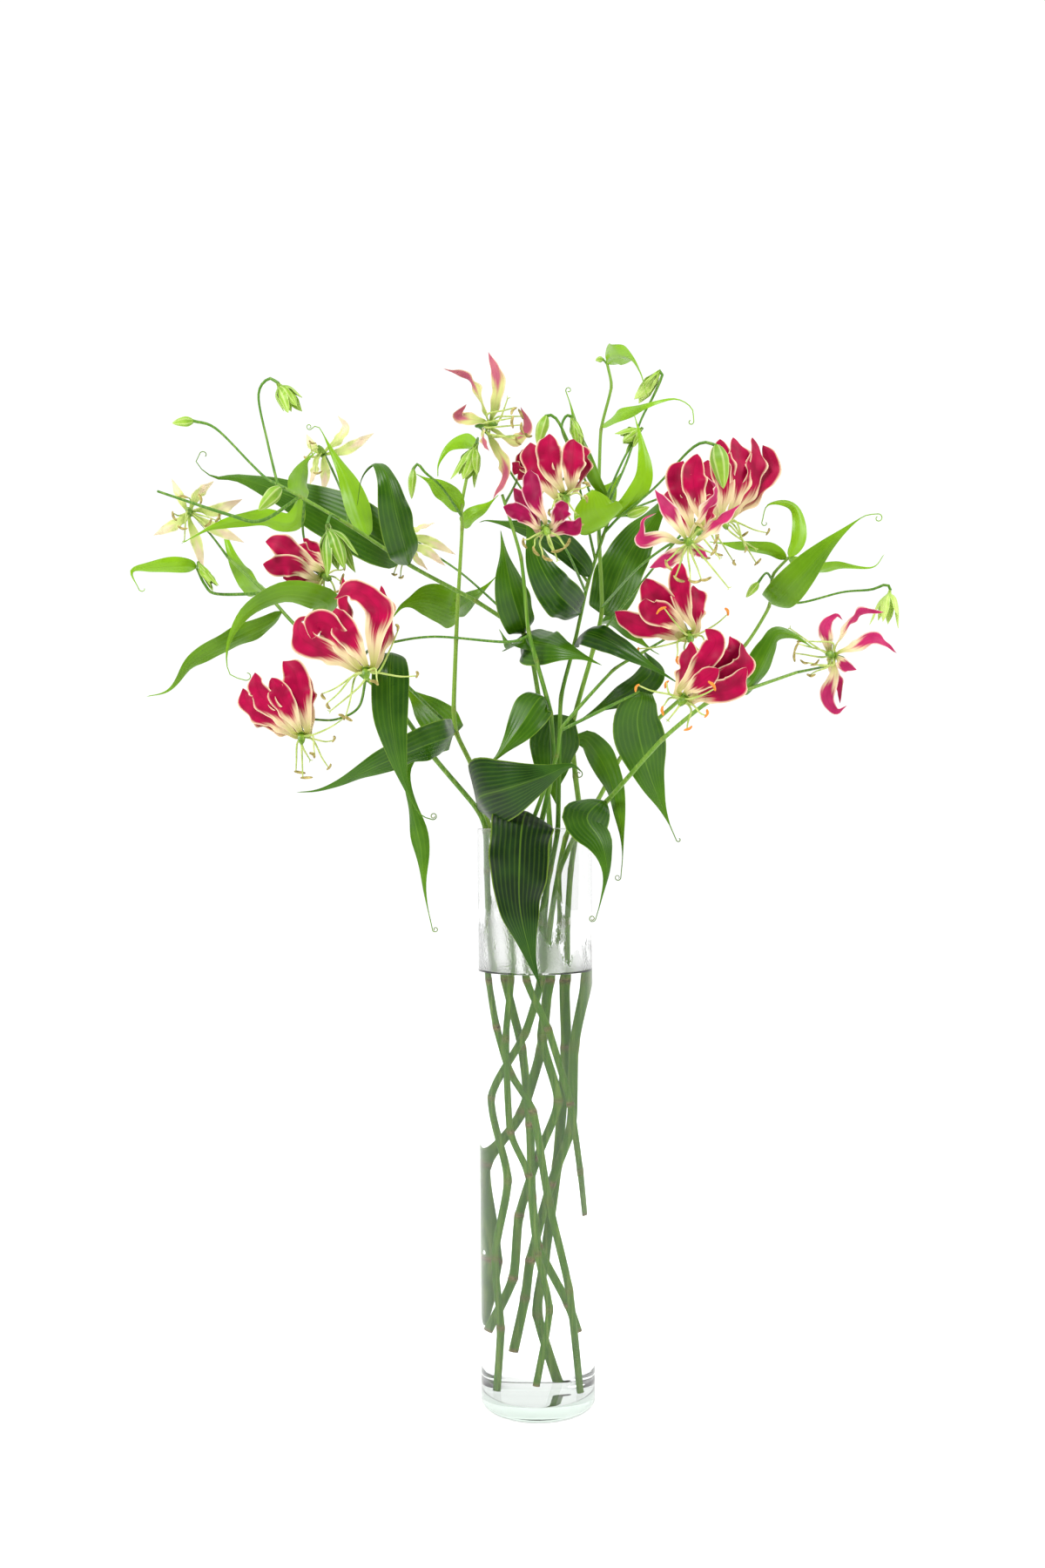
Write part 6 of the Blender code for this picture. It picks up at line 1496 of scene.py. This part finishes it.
# %% The flowers
FLOWERS = {
    "crown_pink": {
        "centre": (559, 488, -40), "faces": (0.75, -0.55, -0.1), "tone": "pink", "stem": "stem_crown",
        "stalk": (
            (672, 668, -8), (639, 619, -2), (608, 574, 2), (585, 540, 2), (566, 506, -14), (553, 492, -24),
        ),
        "tepals": (
            (13, (572, 440, -6), (561, 404, 6)),
            (13, (540, 436, 8), (509, 423, 4)),
            (12, (526, 478, 2), (536, 464, -8)),
            (10, (556, 506, -14), (562, 518, -18)),
            (12, (590, 505, 8), (606, 490, 14), (598, 467, 16)),
            (12, (582, 540, 0), (566, 574, 6)),
        ),
        "anthers": (
            (591, 468, -30), (598, 488, -34), (604, 500, -24), (588, 480, -38), (600, 478, -16),
            (592, 504, -30),
        ),
        "style": (583, 458, -24),
    },
    "red_upper": {
        "centre": (647, 567, -70), "faces": (0.35, -0.5, -0.8), "tone": "red", "stem": "stem_crown",
        "stalk": ((675, 640, -9), (672, 590, -20), (664, 556, -34), (652, 548, -50)),
        "tepals": (
            (16, (626, 545, 0), (612, 524, 2), (609, 508, 4)),
            (14, (634, 540, -6), (630, 515, -6), (631, 498, -2)),
            (14, (656, 545, -8), (658, 522, -6), (659, 504, -2)),
            (12, (668, 548, 8), (670, 525, 14), (664, 512, 18)),
            (11, (632, 556, 12), (622, 532, 20), (626, 512, 24)),
        ),
        "anthers": (
            (677, 556, -20), (675, 574, -10), (660, 604, -8), (640, 596, -16), (630, 586, -6),
            (650, 590, -28),
        ),
        "style": (662, 590, -24),
    },
    "red_behind": {
        "centre": (618, 545, -22), "faces": (0.5, -0.3, -0.8), "tone": "red", "stem": "stem_red_left",
        "stalk": ((580, 578, -35), (590, 560, -18), (600, 540, -12), (612, 532, -14)),
        "tepals": (
            (10, (598, 540, -2), (588, 531, -2)),
            (10, (603, 528, -4), (600, 516, -4)),
            (10, (616, 524, -8), (612, 512, -8)),
            (9, (630, 532, 6), (630, 520, 8)),
        ),
        "anthers": ((636, 560, -4), (610, 566, -8)),
        "style": (620, 572, -2),
    },
    "magenta_low": {
        "centre": (626, 606, -112), "faces": (0.2, -0.75, -0.6), "tone": "magenta", "stem": "stem_crown",
        "stalk": ((674, 680, -9), (655, 640, -50), (635, 604, -84), (628, 598, -96)),
        "tepals": (
            (13, (614, 575, -4), (608, 539, 2)),
            (11, (600, 590, 2), (578, 582, 8)),
            (12, (642, 590, 0), (652, 578, 6)),
            (10, (648, 606, 4), (662, 606, 4), (667, 594, 8)),
            (10, (612, 592, 10), (590, 560, 18)),
        ),
        "anthers": ((612, 630, -10), (636, 634, -12), (650, 628, -10), (600, 620, -4), (624, 640, -14)),
        "style": (640, 642, -8),
    },
    "red_top_right": {
        "centre": (830, 595, -22), "faces": (0.25, -0.35, -0.9), "tone": "red", "stem": "stem_tall_right",
        "stalk": ((688, 600, 26), (750, 575, 48), (805, 556, 34), (824, 566, 8)),
        "tepals": (
            (14, (818, 570, -8), (810, 545, -8), (813, 528, -4)),
            (14, (832, 560, -12), (828, 525, -12), (827, 504, -8)),
            (15, (848, 560, -8), (848, 525, -6), (842, 502, -2)),
            (15, (860, 560, 0), (868, 525, 4), (864, 502, 8)),
            (15, (866, 568, 10), (884, 535, 16), (876, 511, 20)),
            (12, (815, 575, 10), (798, 548, 18), (800, 524, 22)),
        ),
        "anthers": (
            (882, 612, -2), (857, 632, -12), (869, 647, -6), (842, 644, -14), (822, 636, 4),
            (852, 616, 12),
        ),
        "style": (868, 630, 4),
    },
    "red_star_behind": {
        "centre": (800, 606, -76), "faces": (0.3, -0.6, -0.75), "tone": "red", "stem": "stem_tall_right",
        "stalk": ((684, 735, 23), (745, 659, -26), (784, 612, -56), (797, 598, -64)),
        "tepals": (
            (14, (786, 575, 0), (778, 545, 4), (785, 529, 6)),
            (14, (800, 575, -4), (796, 545, -2), (801, 521, 2)),
            (12, (782, 590, 6), (772, 570, 10), (774, 556, 12)),
            (11, (812, 585, 0), (818, 568, 4)),
        ),
        "anthers": ((822, 622, -6), (806, 640, -8)),
        "style": (826, 640, -4),
    },
    "pink_star": {
        "centre": (790, 622, -122), "faces": (0.1, -0.95, -0.25), "tone": "pink", "stem": "stem_tall_right",
        "stalk": ((692, 697, 21), (730, 655, -50), (766, 627, -92), (786, 620, -108)),
        "tepals": (
            (13, (772, 592, 0), (752, 562, 10)),
            (14, (806, 592, -2), (824, 565, 6), (812, 547, 12)),
            (13, (822, 602, 2), (850, 579, 12)),
            (12, (762, 616, 0), (738, 620, 6), (740, 598, 10), (754, 589, 12)),
            (14, (772, 640, -2), (746, 652, 8)),
            (10, (802, 632, 0), (813, 640, 2)),
        ),
        "anthers": (
            (775, 664, -12), (793, 668, -16), (806, 667, -14), (819, 636, -18), (764, 646, -14),
            (808, 606, -18),
        ),
        "style": (836, 674, -12),
    },
    "red_mid_right": {
        "centre": (790, 727, -62), "faces": (0.2, -0.6, -0.75), "tone": "red", "stem": "stem_mid_right",
        "stalk": ((740, 748, -32), (762, 735, -34), (784, 722, -44)),
        "tepals": (
            (17, (770, 705, 0), (748, 680, 4), (742, 664, 8)),
            (12, (786, 700, -6), (780, 668, -2), (781, 644, 2)),
            (14, (766, 708, -10), (745, 700, -8), (741, 687, -6)),
            (13, (760, 722, -2), (730, 716, 0), (706, 702, 4)),
            (12, (798, 702, 0), (800, 684, 4), (796, 672, 8)),
        ),
        "anthers": (
            (732, 745, 2), (777, 755, -14), (837, 704, -6), (762, 697, -20), (812, 742, -10),
            (790, 760, -4),
        ),
        "style": (806, 750, -18),
    },
    "red_low_right": {
        "centre": (787, 799, -122), "faces": (-0.45, -0.5, -0.7), "tone": "red", "stem": "stem_far_right",
        "stalk": ((812, 806, -88), (816, 794, -92), (796, 790, -104)),
        "tepals": (
            (13, (800, 770, -2), (822, 738, 0), (810, 722, 4)),
            (14, (812, 776, 4), (842, 752, 8), (838, 730, 10)),
            (14, (818, 784, 0), (852, 766, 4), (852, 738, 8)),
            (14, (812, 795, -4), (840, 790, -4), (858, 766, 0)),
            (12, (790, 765, 6), (794, 736, 10)),
            (11, (806, 782, -10), (826, 768, -12)),
        ),
        "anthers": (
            (732, 786, -4), (789, 838, -8), (822, 790, -24), (760, 812, -4), (812, 822, -10),
            (766, 782, 4),
        ),
        "style": (768, 826, -10),
    },
    "pink_far_right": {
        "centre": (959, 753, -22), "faces": (-0.75, -0.55, 0.1), "tone": "pink", "stem": "stem_far_right",
        "stalk": ((915, 772, -38), (944, 766, -10), (968, 760, -4)),
        "tepals": (
            (12, (968, 728, 0), (988, 704, 4), (1016, 703, 8)),
            (12, (980, 744, -2), (1005, 733, 0), (1030, 750, 4)),
            (11, (950, 733, -4), (948, 718, -2), (960, 706, 0), (968, 712, 0)),
            (12, (958, 775, 0), (950, 800, 4), (960, 816, 6), (973, 810, 6)),
            (9, (963, 780, 10), (965, 808, 14)),
            (10, (970, 764, -10), (984, 769, -8)),
        ),
        "anthers": (
            (916, 739, -14), (921, 760, -18), (929, 776, -16), (912, 750, -6), (924, 736, -24),
            (934, 764, -26),
        ),
        "style": (908, 722, -10),
    },
    "red_left": {
        "centre": (420, 766, -102), "faces": (0.1, -0.4, -0.9), "tone": "red", "stem": "stem_red_left",
        "stalk": ((607, 730, -37), (581, 737, -50), (500, 731, -74), (448, 738, -76), (428, 744, -80)),
        "tepals": (
            (16, (384, 752, 0), (350, 735, 2), (343, 718, 6), (356, 707, 8)),
            (15, (396, 742, -6), (378, 718, -6), (362, 716, -4), (358, 734, -8)),
            (14, (404, 735, -10), (390, 712, -8), (386, 698, -4)),
            (17, (430, 730, -8), (434, 700, -6), (408, 678, 0), (384, 688, 2)),
            (13, (440, 735, 6), (442, 700, 12), (438, 672, 16)),
            (12, (402, 744, 5), (398, 700, 17), (394, 662, 22)),
        ),
        "anthers": (
            (369, 797, -4), (375, 808, -10), (397, 823, -8), (434, 784, -14), (480, 776, 0),
            (458, 722, 12),
        ),
        "style": (380, 816, 2),
    },
    "red_left_low": {
        "centre": (346, 841, -62), "faces": (0.1, -0.45, -0.9), "tone": "red", "stem": "stem_far_left",
        "stalk": ((420, 779, -28), (412, 812, -34), (386, 826, -42), (358, 826, -44), (348, 828, -50)),
        "tepals": (
            (15, (344, 800, -6), (338, 772, -4), (325, 759, 0)),
            (13, (330, 812, -10), (318, 790, -10), (312, 778, -8)),
            (13, (318, 818, -6), (298, 795, -6), (293, 772, -2)),
            (14, (312, 824, 0), (286, 808, 4), (279, 790, 8)),
            (12, (306, 826, 10), (284, 815, 14)),
            (12, (350, 805, 8), (350, 785, 14), (344, 768, 16)),
        ),
        "anthers": (
            (348, 893, -8), (340, 886, -2), (378, 882, -4), (396, 824, -12), (362, 868, -14),
            (384, 850, 4),
        ),
        "style": (356, 872, 4),
    },
    "red_left_small": {
        "centre": (369, 659, -38), "faces": (0.75, -0.35, -0.5), "tone": "red", "stem": "stem_left_tall",
        "stalk": ((350, 573, -28), (348, 608, -8), (354, 636, -14), (361, 649, -26)),
        "tepals": (
            (13, (342, 640, -2), (320, 624, 0), (305, 622, 4)),
            (12, (340, 650, -8), (316, 650, -6), (302, 648, -4)),
            (12, (345, 634, 6), (330, 620, 10)),
            (11, (350, 660, 0), (325, 664, 4)),
            (10, (362, 636, 14), (348, 618, 18)),
        ),
        "anthers": ((392, 668, 2), (386, 680, -2), (396, 652, 4), (374, 682, -6)),
        "style": (388, 690, 2),
    },
    "pale_far_left": {
        "centre": (220, 589, 18), "faces": (-0.1, -0.95, 0.1), "tone": "pale", "stem": "stem_far_left",
        "stalk": ((262, 640, 8), (244, 616, 20), (230, 600, 24)),
        "tepals": (
            (8, (208, 572, 0), (197, 549, 4)),
            (10, (228, 568, 0), (246, 552, 4)),
            (11, (248, 586, 0), (279, 573, 4)),
            (11, (246, 606, 2), (281, 623, 6)),
            (10, (226, 622, 0), (234, 656, 4)),
            (10, (204, 600, 0), (176, 615, 4)),
        ),
        "anthers": (
            (250, 598, -16), (238, 604, -20), (206, 606, -16), (198, 590, -14), (214, 570, -16),
            (232, 576, -18),
        ),
        "style": (212, 620, -14),
    },
    "pale_behind": {
        "centre": (372, 522, 42), "faces": (-0.3, -0.75, 0.5), "tone": "pale", "stem": "stem_left_tall",
        "stalk": ((400, 602, -28), (398, 580, 15), (389, 556, 44), (382, 540, 51)),
        "tepals": (
            (9, (388, 505, 0), (397, 490, 2), (388, 477, 4)),
            (10, (398, 516, 2), (430, 497, 6)),
            (9, (374, 545, 0), (371, 566, 4)),
            (8, (362, 540, 4), (356, 557, 6)),
            (8, (358, 510, 2), (352, 498, 6)),
        ),
        "anthers": ((350, 526, -14), (356, 508, -18), (362, 544, -18)),
        "style": (344, 536, -16),
    },
    "pale_half_hidden": {
        "centre": (470, 620, 26), "faces": (-0.8, -0.5, -0.3), "tone": "pale", "stem": "stem_left_tall",
        "stalk": ((603, 727, 8), (579, 702, 16), (530, 658, 26), (486, 628, 34)),
        "tepals": (
            (9, (495, 622, -4), (524, 637, -2)),
            (9, (490, 632, -6), (512, 650, -4)),
            (8, (484, 606, 4), (500, 600, 8)),
            (8, (478, 640, 6), (492, 655, 10)),
        ),
        "anthers": ((446, 648, -4), (452, 660, -2), (460, 664, -6), (444, 630, 0)),
        "style": (448, 612, 0),
    },
}
print(len(FLOWERS), "flowers with", sum(len(flower["tepals"]) for flower in FLOWERS.values()), "petals in all")

# %% [markdown]
# ## Petals
#
# A petal leaves the collar flat and evenly spaced from its neighbours, like a spoke, and is then thrown back. Its
# breadth is greatest beyond the middle, and the margins ripple in four or five waves. The ripple belongs to the
# shape, because it makes the outline of the flower, so it is in the points of the blade and not in a bump. Both
# margins get their own phase, and each petal its own start, seeded once.

# %% Petals on their collar
COLLAR_HEIGHT = 0.0030
COLLAR_RADIUS = 0.0036
FULL_PETAL = (
    (0, 0.14), (0.10, 0.24), (0.24, 0.48), (0.40, 0.80), (0.56, 0.98), (0.72, 1.0), (0.86, 0.74), (0.95, 0.34),
    (1.0, 0.0),
)
SLENDER_PETAL = (
    (0, 0.16), (0.10, 0.30), (0.24, 0.62), (0.40, 0.94), (0.52, 1.0), (0.66, 0.84), (0.80, 0.54), (0.92, 0.22),
    (1.0, 0.0),
)
PETAL_SHAPES = {"red": FULL_PETAL, "magenta": FULL_PETAL}
PETAL_FULLNESS = {"red": 1.6, "magenta": 1.35, "pink": 1.1, "blush": 1.0, "pale": 1.0}
PETAL_RIPPLE = 0.0024
PETAL_WAVES = 3.2
TURNED_TO_EYE = 0.6


def spokes(centre, faces, firsts):
    """The ways the petals leave the collar: evenly round it, each as near as can be to where its petal goes."""
    right = faces.orthogonal().normalized()
    up = faces.cross(right)
    turns = [math.atan2((spot - centre).dot(up), (spot - centre).dot(right)) for spot in firsts]
    order = sorted(range(len(turns)), key=turns.__getitem__)
    step = 2 * math.pi / len(turns)
    lag = [turns[i] - step * k for k, i in enumerate(order)]
    start = math.atan2(sum(map(math.sin, lag)), sum(map(math.cos, lag)))
    ways = [None] * len(turns)
    for k, i in enumerate(order):
        ways[i] = math.cos(start + step * k) * right + math.sin(start + step * k) * up
    return ways


def make_petal(tone, centre, faces, out, breadth, places):
    foot = centre + out * 0.007 + faces * 0.0005
    rows = blade_blank[2]
    line = evenly(curve_through([centre + out * 0.001, foot, *places]), rows)
    widest = int(rows * 0.56)
    away = line[widest] - centre
    away = (away - faces * away.dot(faces)).normalized()
    sight = (EYE - centre).normalized()
    # A petal turned quite edge-on would be lost, so each is turned a little towards the eye, with the nearer side.
    shown = sight * math.copysign(TURNED_TO_EYE, away.dot(sight))
    normals = faces_along(line, away + shown, widest)
    breadth = breadth * PETAL_FULLNESS[tone] * MM * (1 - centre.y / EYE.y)
    breadths = breadth * profile(PETAL_SHAPES.get(tone, SLENDER_PETAL), np.linspace(0, 1, rows + 1))
    breadths[0] = 0.8 * MM
    breadths[-1] = 0.0
    return blade(
        "petal", line, normals, breadths, petal_skins[tone], fold=0.16,
        ripple=PETAL_RIPPLE * min(1.0, breadth / 0.017), waves=PETAL_WAVES, phase=random.uniform(0, 6),
    )


PETAL_TONES = {"crown_pink": "blush"}


def make_corolla(name, flower):
    """A flower's petals with their collar, as one piece."""
    centre = grown(*flower["centre"])
    faces = Vector(flower["faces"]).normalized()
    tone = PETAL_TONES.get(name, flower["tone"])
    lines = [[from_flower(centre, *spot) for spot in spots] for _, *spots in flower["tepals"]]
    ways = spokes(centre, faces, [line[0] for line in lines])
    half = COLLAR_HEIGHT / 2
    dome = (
        (0, COLLAR_RADIUS * 0.55), (0.25, COLLAR_RADIUS * 0.95), (0.6, COLLAR_RADIUS), (1, COLLAR_RADIUS * 0.8),
    )
    collar = rod(
        "collar", [centre - faces * half, centre, centre + faces * half], dome, ovary_skin, lobes=6, groove=0.06
    )
    petals = [
        make_petal(tone, centre, faces, way, breadth, line)
        for (breadth, *_), line, way in zip(flower["tepals"], lines, ways)
    ]
    return join_as("petals_" + name, [*petals, collar], "tepals_" + name)


for name, flower in FLOWERS.items():
    corolla = make_corolla(name, flower)
print("the last corolla has", len(corolla.data.polygons), "faces")

# %% [markdown]
# ## Ovary, stamens and style
#
# The filament rises a little along the ovary, then runs out in a shallow arch. The anther is fixed at its middle and
# hangs across, slightly bowed, in two pale halves. Three short arms end the style. All of it is rods of the same
# blank, so the whole heart stays light.

# %% Hearts of the flowers
OVARY_LENGTH = 0.0095
OVARY_RADIUS = 0.0031
ANTHER_LENGTH = 0.0100
GAP = 0.0003
SHED_POLLEN = ("red_mid_right", "red_low_right")


def make_anther(end, faces, out, finish):
    """A bowed anther hung by its middle across a filament's end."""
    across = faces.cross(out).normalized()
    middle = end + across * ANTHER_LENGTH * 0.30
    tips = (middle - across * ANTHER_LENGTH * 0.5, middle + across * ANTHER_LENGTH * 0.5)
    bow = (faces * 0.5 - out) * 0.0013
    sausage = ((0, 0.0003), (0.12, 0.00085), (0.5, 0.00115), (0.88, 0.00085), (1, 0.0003))
    return rod("anther", [tips[0] + bow, middle, tips[1] + bow], sausage, finish, lobes=2, groove=0.18)


def make_heart(name, flower):
    centre = grown(*flower["centre"])
    faces = Vector(flower["faces"]).normalized()
    foot = centre + faces * (COLLAR_HEIGHT / 2 + GAP)
    tip = foot + faces * OVARY_LENGTH
    plump = ((0, OVARY_RADIUS * 0.7), (0.3, OVARY_RADIUS), (0.7, OVARY_RADIUS * 0.85), (1, OVARY_RADIUS * 0.35))
    pieces = [rod("ovary", [foot, foot.lerp(tip, 0.5), tip], plump, ovary_skin, stem_blank, lobes=3, groove=0.14)]
    thin = ((0, 0.00085), (0.5, 0.00075), (1, 0.0005))
    finish = pollen_skin if name in SHED_POLLEN else anther_skin
    for spot in flower["anthers"]:
        end = from_flower(centre, *spot)
        out = end - foot
        out = (out - faces * out.dot(faces)).normalized()
        arch = [foot + faces * 0.0022 + out * 0.0008, foot + faces * 0.004 + out * 0.010]
        bowed = arch[1].lerp(end, 0.55) + faces * 0.0018
        pieces.append(rod("filament", [*arch, bowed, end], thin, filament_skin))
        pieces.append(make_anther(end, faces, out, finish))
    end = from_flower(centre, *flower["style"])
    bent = tip + (end - tip) * 0.25 + faces * 0.001
    pieces.append(rod("style", [tip - faces * 0.002, bent, end], thin, filament_skin))
    way = (end - bent).normalized()
    side = way.orthogonal().normalized()
    for k in range(3):
        arm = Matrix.Rotation(2 * math.pi * k / 3, 3, way) @ side
        pieces.append(
            rod("arm", [end - way * 0.0005, end + way * 0.0012 + arm * 0.0008, end + way * 0.0016 + arm * 0.0022],
                ((0, 0.0004), (0.5, 0.00035), (1, 0.0002)), filament_skin)
        )
    return join_as("heart_of_" + name, pieces, "heart_" + name)


for name, flower in FLOWERS.items():
    heart = make_heart(name, flower)
print("the last heart has", len(heart.data.polygons), "faces")

# %% [markdown]
# ## Flower stalks
#
# Each flower hangs on a long thin stalk of its stem. The stalk thickens just behind the collar, into the seat of the
# flower. It belongs to the stem's piece, as it does on the plant, where the stalk stays when a flower drops.

# %% Stalks of the flowers
KNOB_RADIUS = 0.0018
KNOB_LENGTH = 0.009
KNOB_GAP = 0.0005

for name, flower in FLOWERS.items():
    centre = grown(*flower["centre"])
    faces = Vector(flower["faces"]).normalized()
    end = centre - faces * (COLLAR_HEIGHT / 2 + KNOB_GAP)
    behind = end - faces * KNOB_LENGTH
    stem = flower["stem"]
    places = rooted([grown(*spot) for spot in flower["stalk"]], lines_of[stem])
    places = [*places, behind, end]
    lines_of[stem].append(curve_through(places, 4))
    swelling = ((0, STALK_RADIUS * 1.15), (0.5, STALK_RADIUS * 0.9), (0.9, STALK_RADIUS * 1.1), (1, KNOB_RADIUS))
    pieces_of[stem].append(rod(name + "_stalk", places, swelling, stem_skin, stem_blank, young=0.3))
print("stalks made for", len(FLOWERS), "flowers")

# %% [markdown]
# ## Each stem as one piece
#
# A stem, its shoots, stalks, leaves and buds grew as one, so they are joined into one piece for their node. The cut
# ends are pressed level where they stand on the glass.

# %% Join the stems
def stand_on_floor(piece):
    """Presses flat what would reach into the glass floor."""
    for vert in piece.data.vertices:
        vert.co.z = max(vert.co.z, FLOOR_TOP + 0.0002)


for name, pieces in pieces_of.items():
    stand_on_floor(pieces[0])
    whole = join_as(name.replace("stem_", "leafy_stem_"), pieces, name)
    print(whole.name, len(whole.data.polygons), "faces")

# %% [markdown]
# ## The stage
#
# The vase stands on a plain pale sheet of opal plastic, lit faintly from below, as small things are photographed on
# white: it leaves only a breath of a shadow. Behind is an even white surround that wraps round the glass. The room on
# the eye's side is dimmer, so that leaves keep their depth and the water doesn't mirror white. One broad soft lamp
# high at the left front models the leaves, and a weaker one at the right keeps that side from going dull.

# %% Floor and light
LIT_FROM_BELOW = 0.45
opal_sheet, tree = new_finish("opal_sheet")
spots = add(tree, "ShaderNodeTexCoord")
milky = add(tree, "ShaderNodeTexNoise", {"Vector": spots.outputs["Object"], "Scale": 20.0, "Detail": 2.0})
white = add(
    tree, "ShaderNodeValToRGB", {0: milky.outputs["Fac"]}, stops=((0.3, "#F4F4F3"), (0.7, "#F6F6F6"))
)
matt = add(
    tree, "ShaderNodeBsdfPrincipled",
    {
        "Base Color": white.outputs[0], "Roughness": 0.9, "Specular IOR Level": 0.0, "Emission Color": "#FFFFFF",
        "Emission Strength": LIT_FROM_BELOW,
    },
)
add(tree, "ShaderNodeOutputMaterial", {"Surface": matt.outputs[0]})

bpy.ops.mesh.primitive_grid_add(x_subdivisions=4, y_subdivisions=4, size=14, location=(0, 0, -0.0002))
floor = bpy.context.object
floor.name = "pale_floor"
floor.data.materials.append(opal_sheet)

world = bpy.data.worlds.new("white_surround")
world.use_nodes = True
tree = world.node_tree
tree.nodes.clear()
way = add(tree, "ShaderNodeTexCoord").outputs["Generated"]
axes = add(tree, "ShaderNodeSeparateXYZ", {0: way})
behind = add(tree, "ShaderNodeMapRange", {"Value": axes.outputs["Y"], 1: -0.6, 2: 0.25, 3: 0.0, 4: 1.0})
surround = add(
    tree, "ShaderNodeValToRGB", {0: behind.outputs[0]}, stops=((0.0, "#8A8A8A"), (1.0, "#FFFFFF"))
)
even = add(tree, "ShaderNodeBackground", {"Color": surround.outputs[0], "Strength": 1.06})
add(tree, "ShaderNodeOutputWorld", {"Surface": even.outputs[0]})
bpy.context.scene.world = world
bpy.context.scene.view_settings.view_transform = "Standard"


def soft_lamp(name, where, size, watts):
    """A square soft lamp that looks at the middle of the flowers."""
    bpy.ops.object.light_add(type="AREA", location=where)
    lamp = bpy.context.object
    lamp.name = name
    lamp.data.size = size
    lamp.data.energy = watts
    lamp.rotation_euler = (Vector((0, 0, 0.6)) - Vector(where)).to_track_quat("-Z", "Y").to_euler()
    return lamp


soft_lamp("key_lamp", (-1.1, -1.4, 2.1), 0.9, 44)
soft_lamp("fill_lamp", (1.5, -0.7, 1.8), 0.9, 24)
print("floor at", floor.location.z, "m, two soft lamps")

# %% [markdown]
# ## The camera
#
# The walls of the vase stay parallel in the picture, so the camera looks straight ahead, level with the rim, and its
# lens is shifted up a little to take in the whole bunch. That is how interiors are photographed. It stands at the
# eye of the drawing grid and leans as the grid does.

# %% The camera
CAMERA_SHIFT = 51 / 1800
bpy.ops.object.camera_add(location=EYE)
camera = bpy.context.object
camera.matrix_world = (
    Matrix.Translation(EYE) @ Matrix.Rotation(math.radians(90), 4, "X") @ Matrix.Rotation(-LEAN, 4, "Z")
)
camera.data.sensor_width = 36
camera.data.sensor_height = 36
camera.data.lens = -EYE.y / GRID_STEP / 1800 * 36
camera.data.shift_y = CAMERA_SHIFT
camera.data.clip_start = 0.01
bpy.context.scene.camera = camera
print("lens", round(camera.data.lens, 2), "mm at", tuple(EYE))
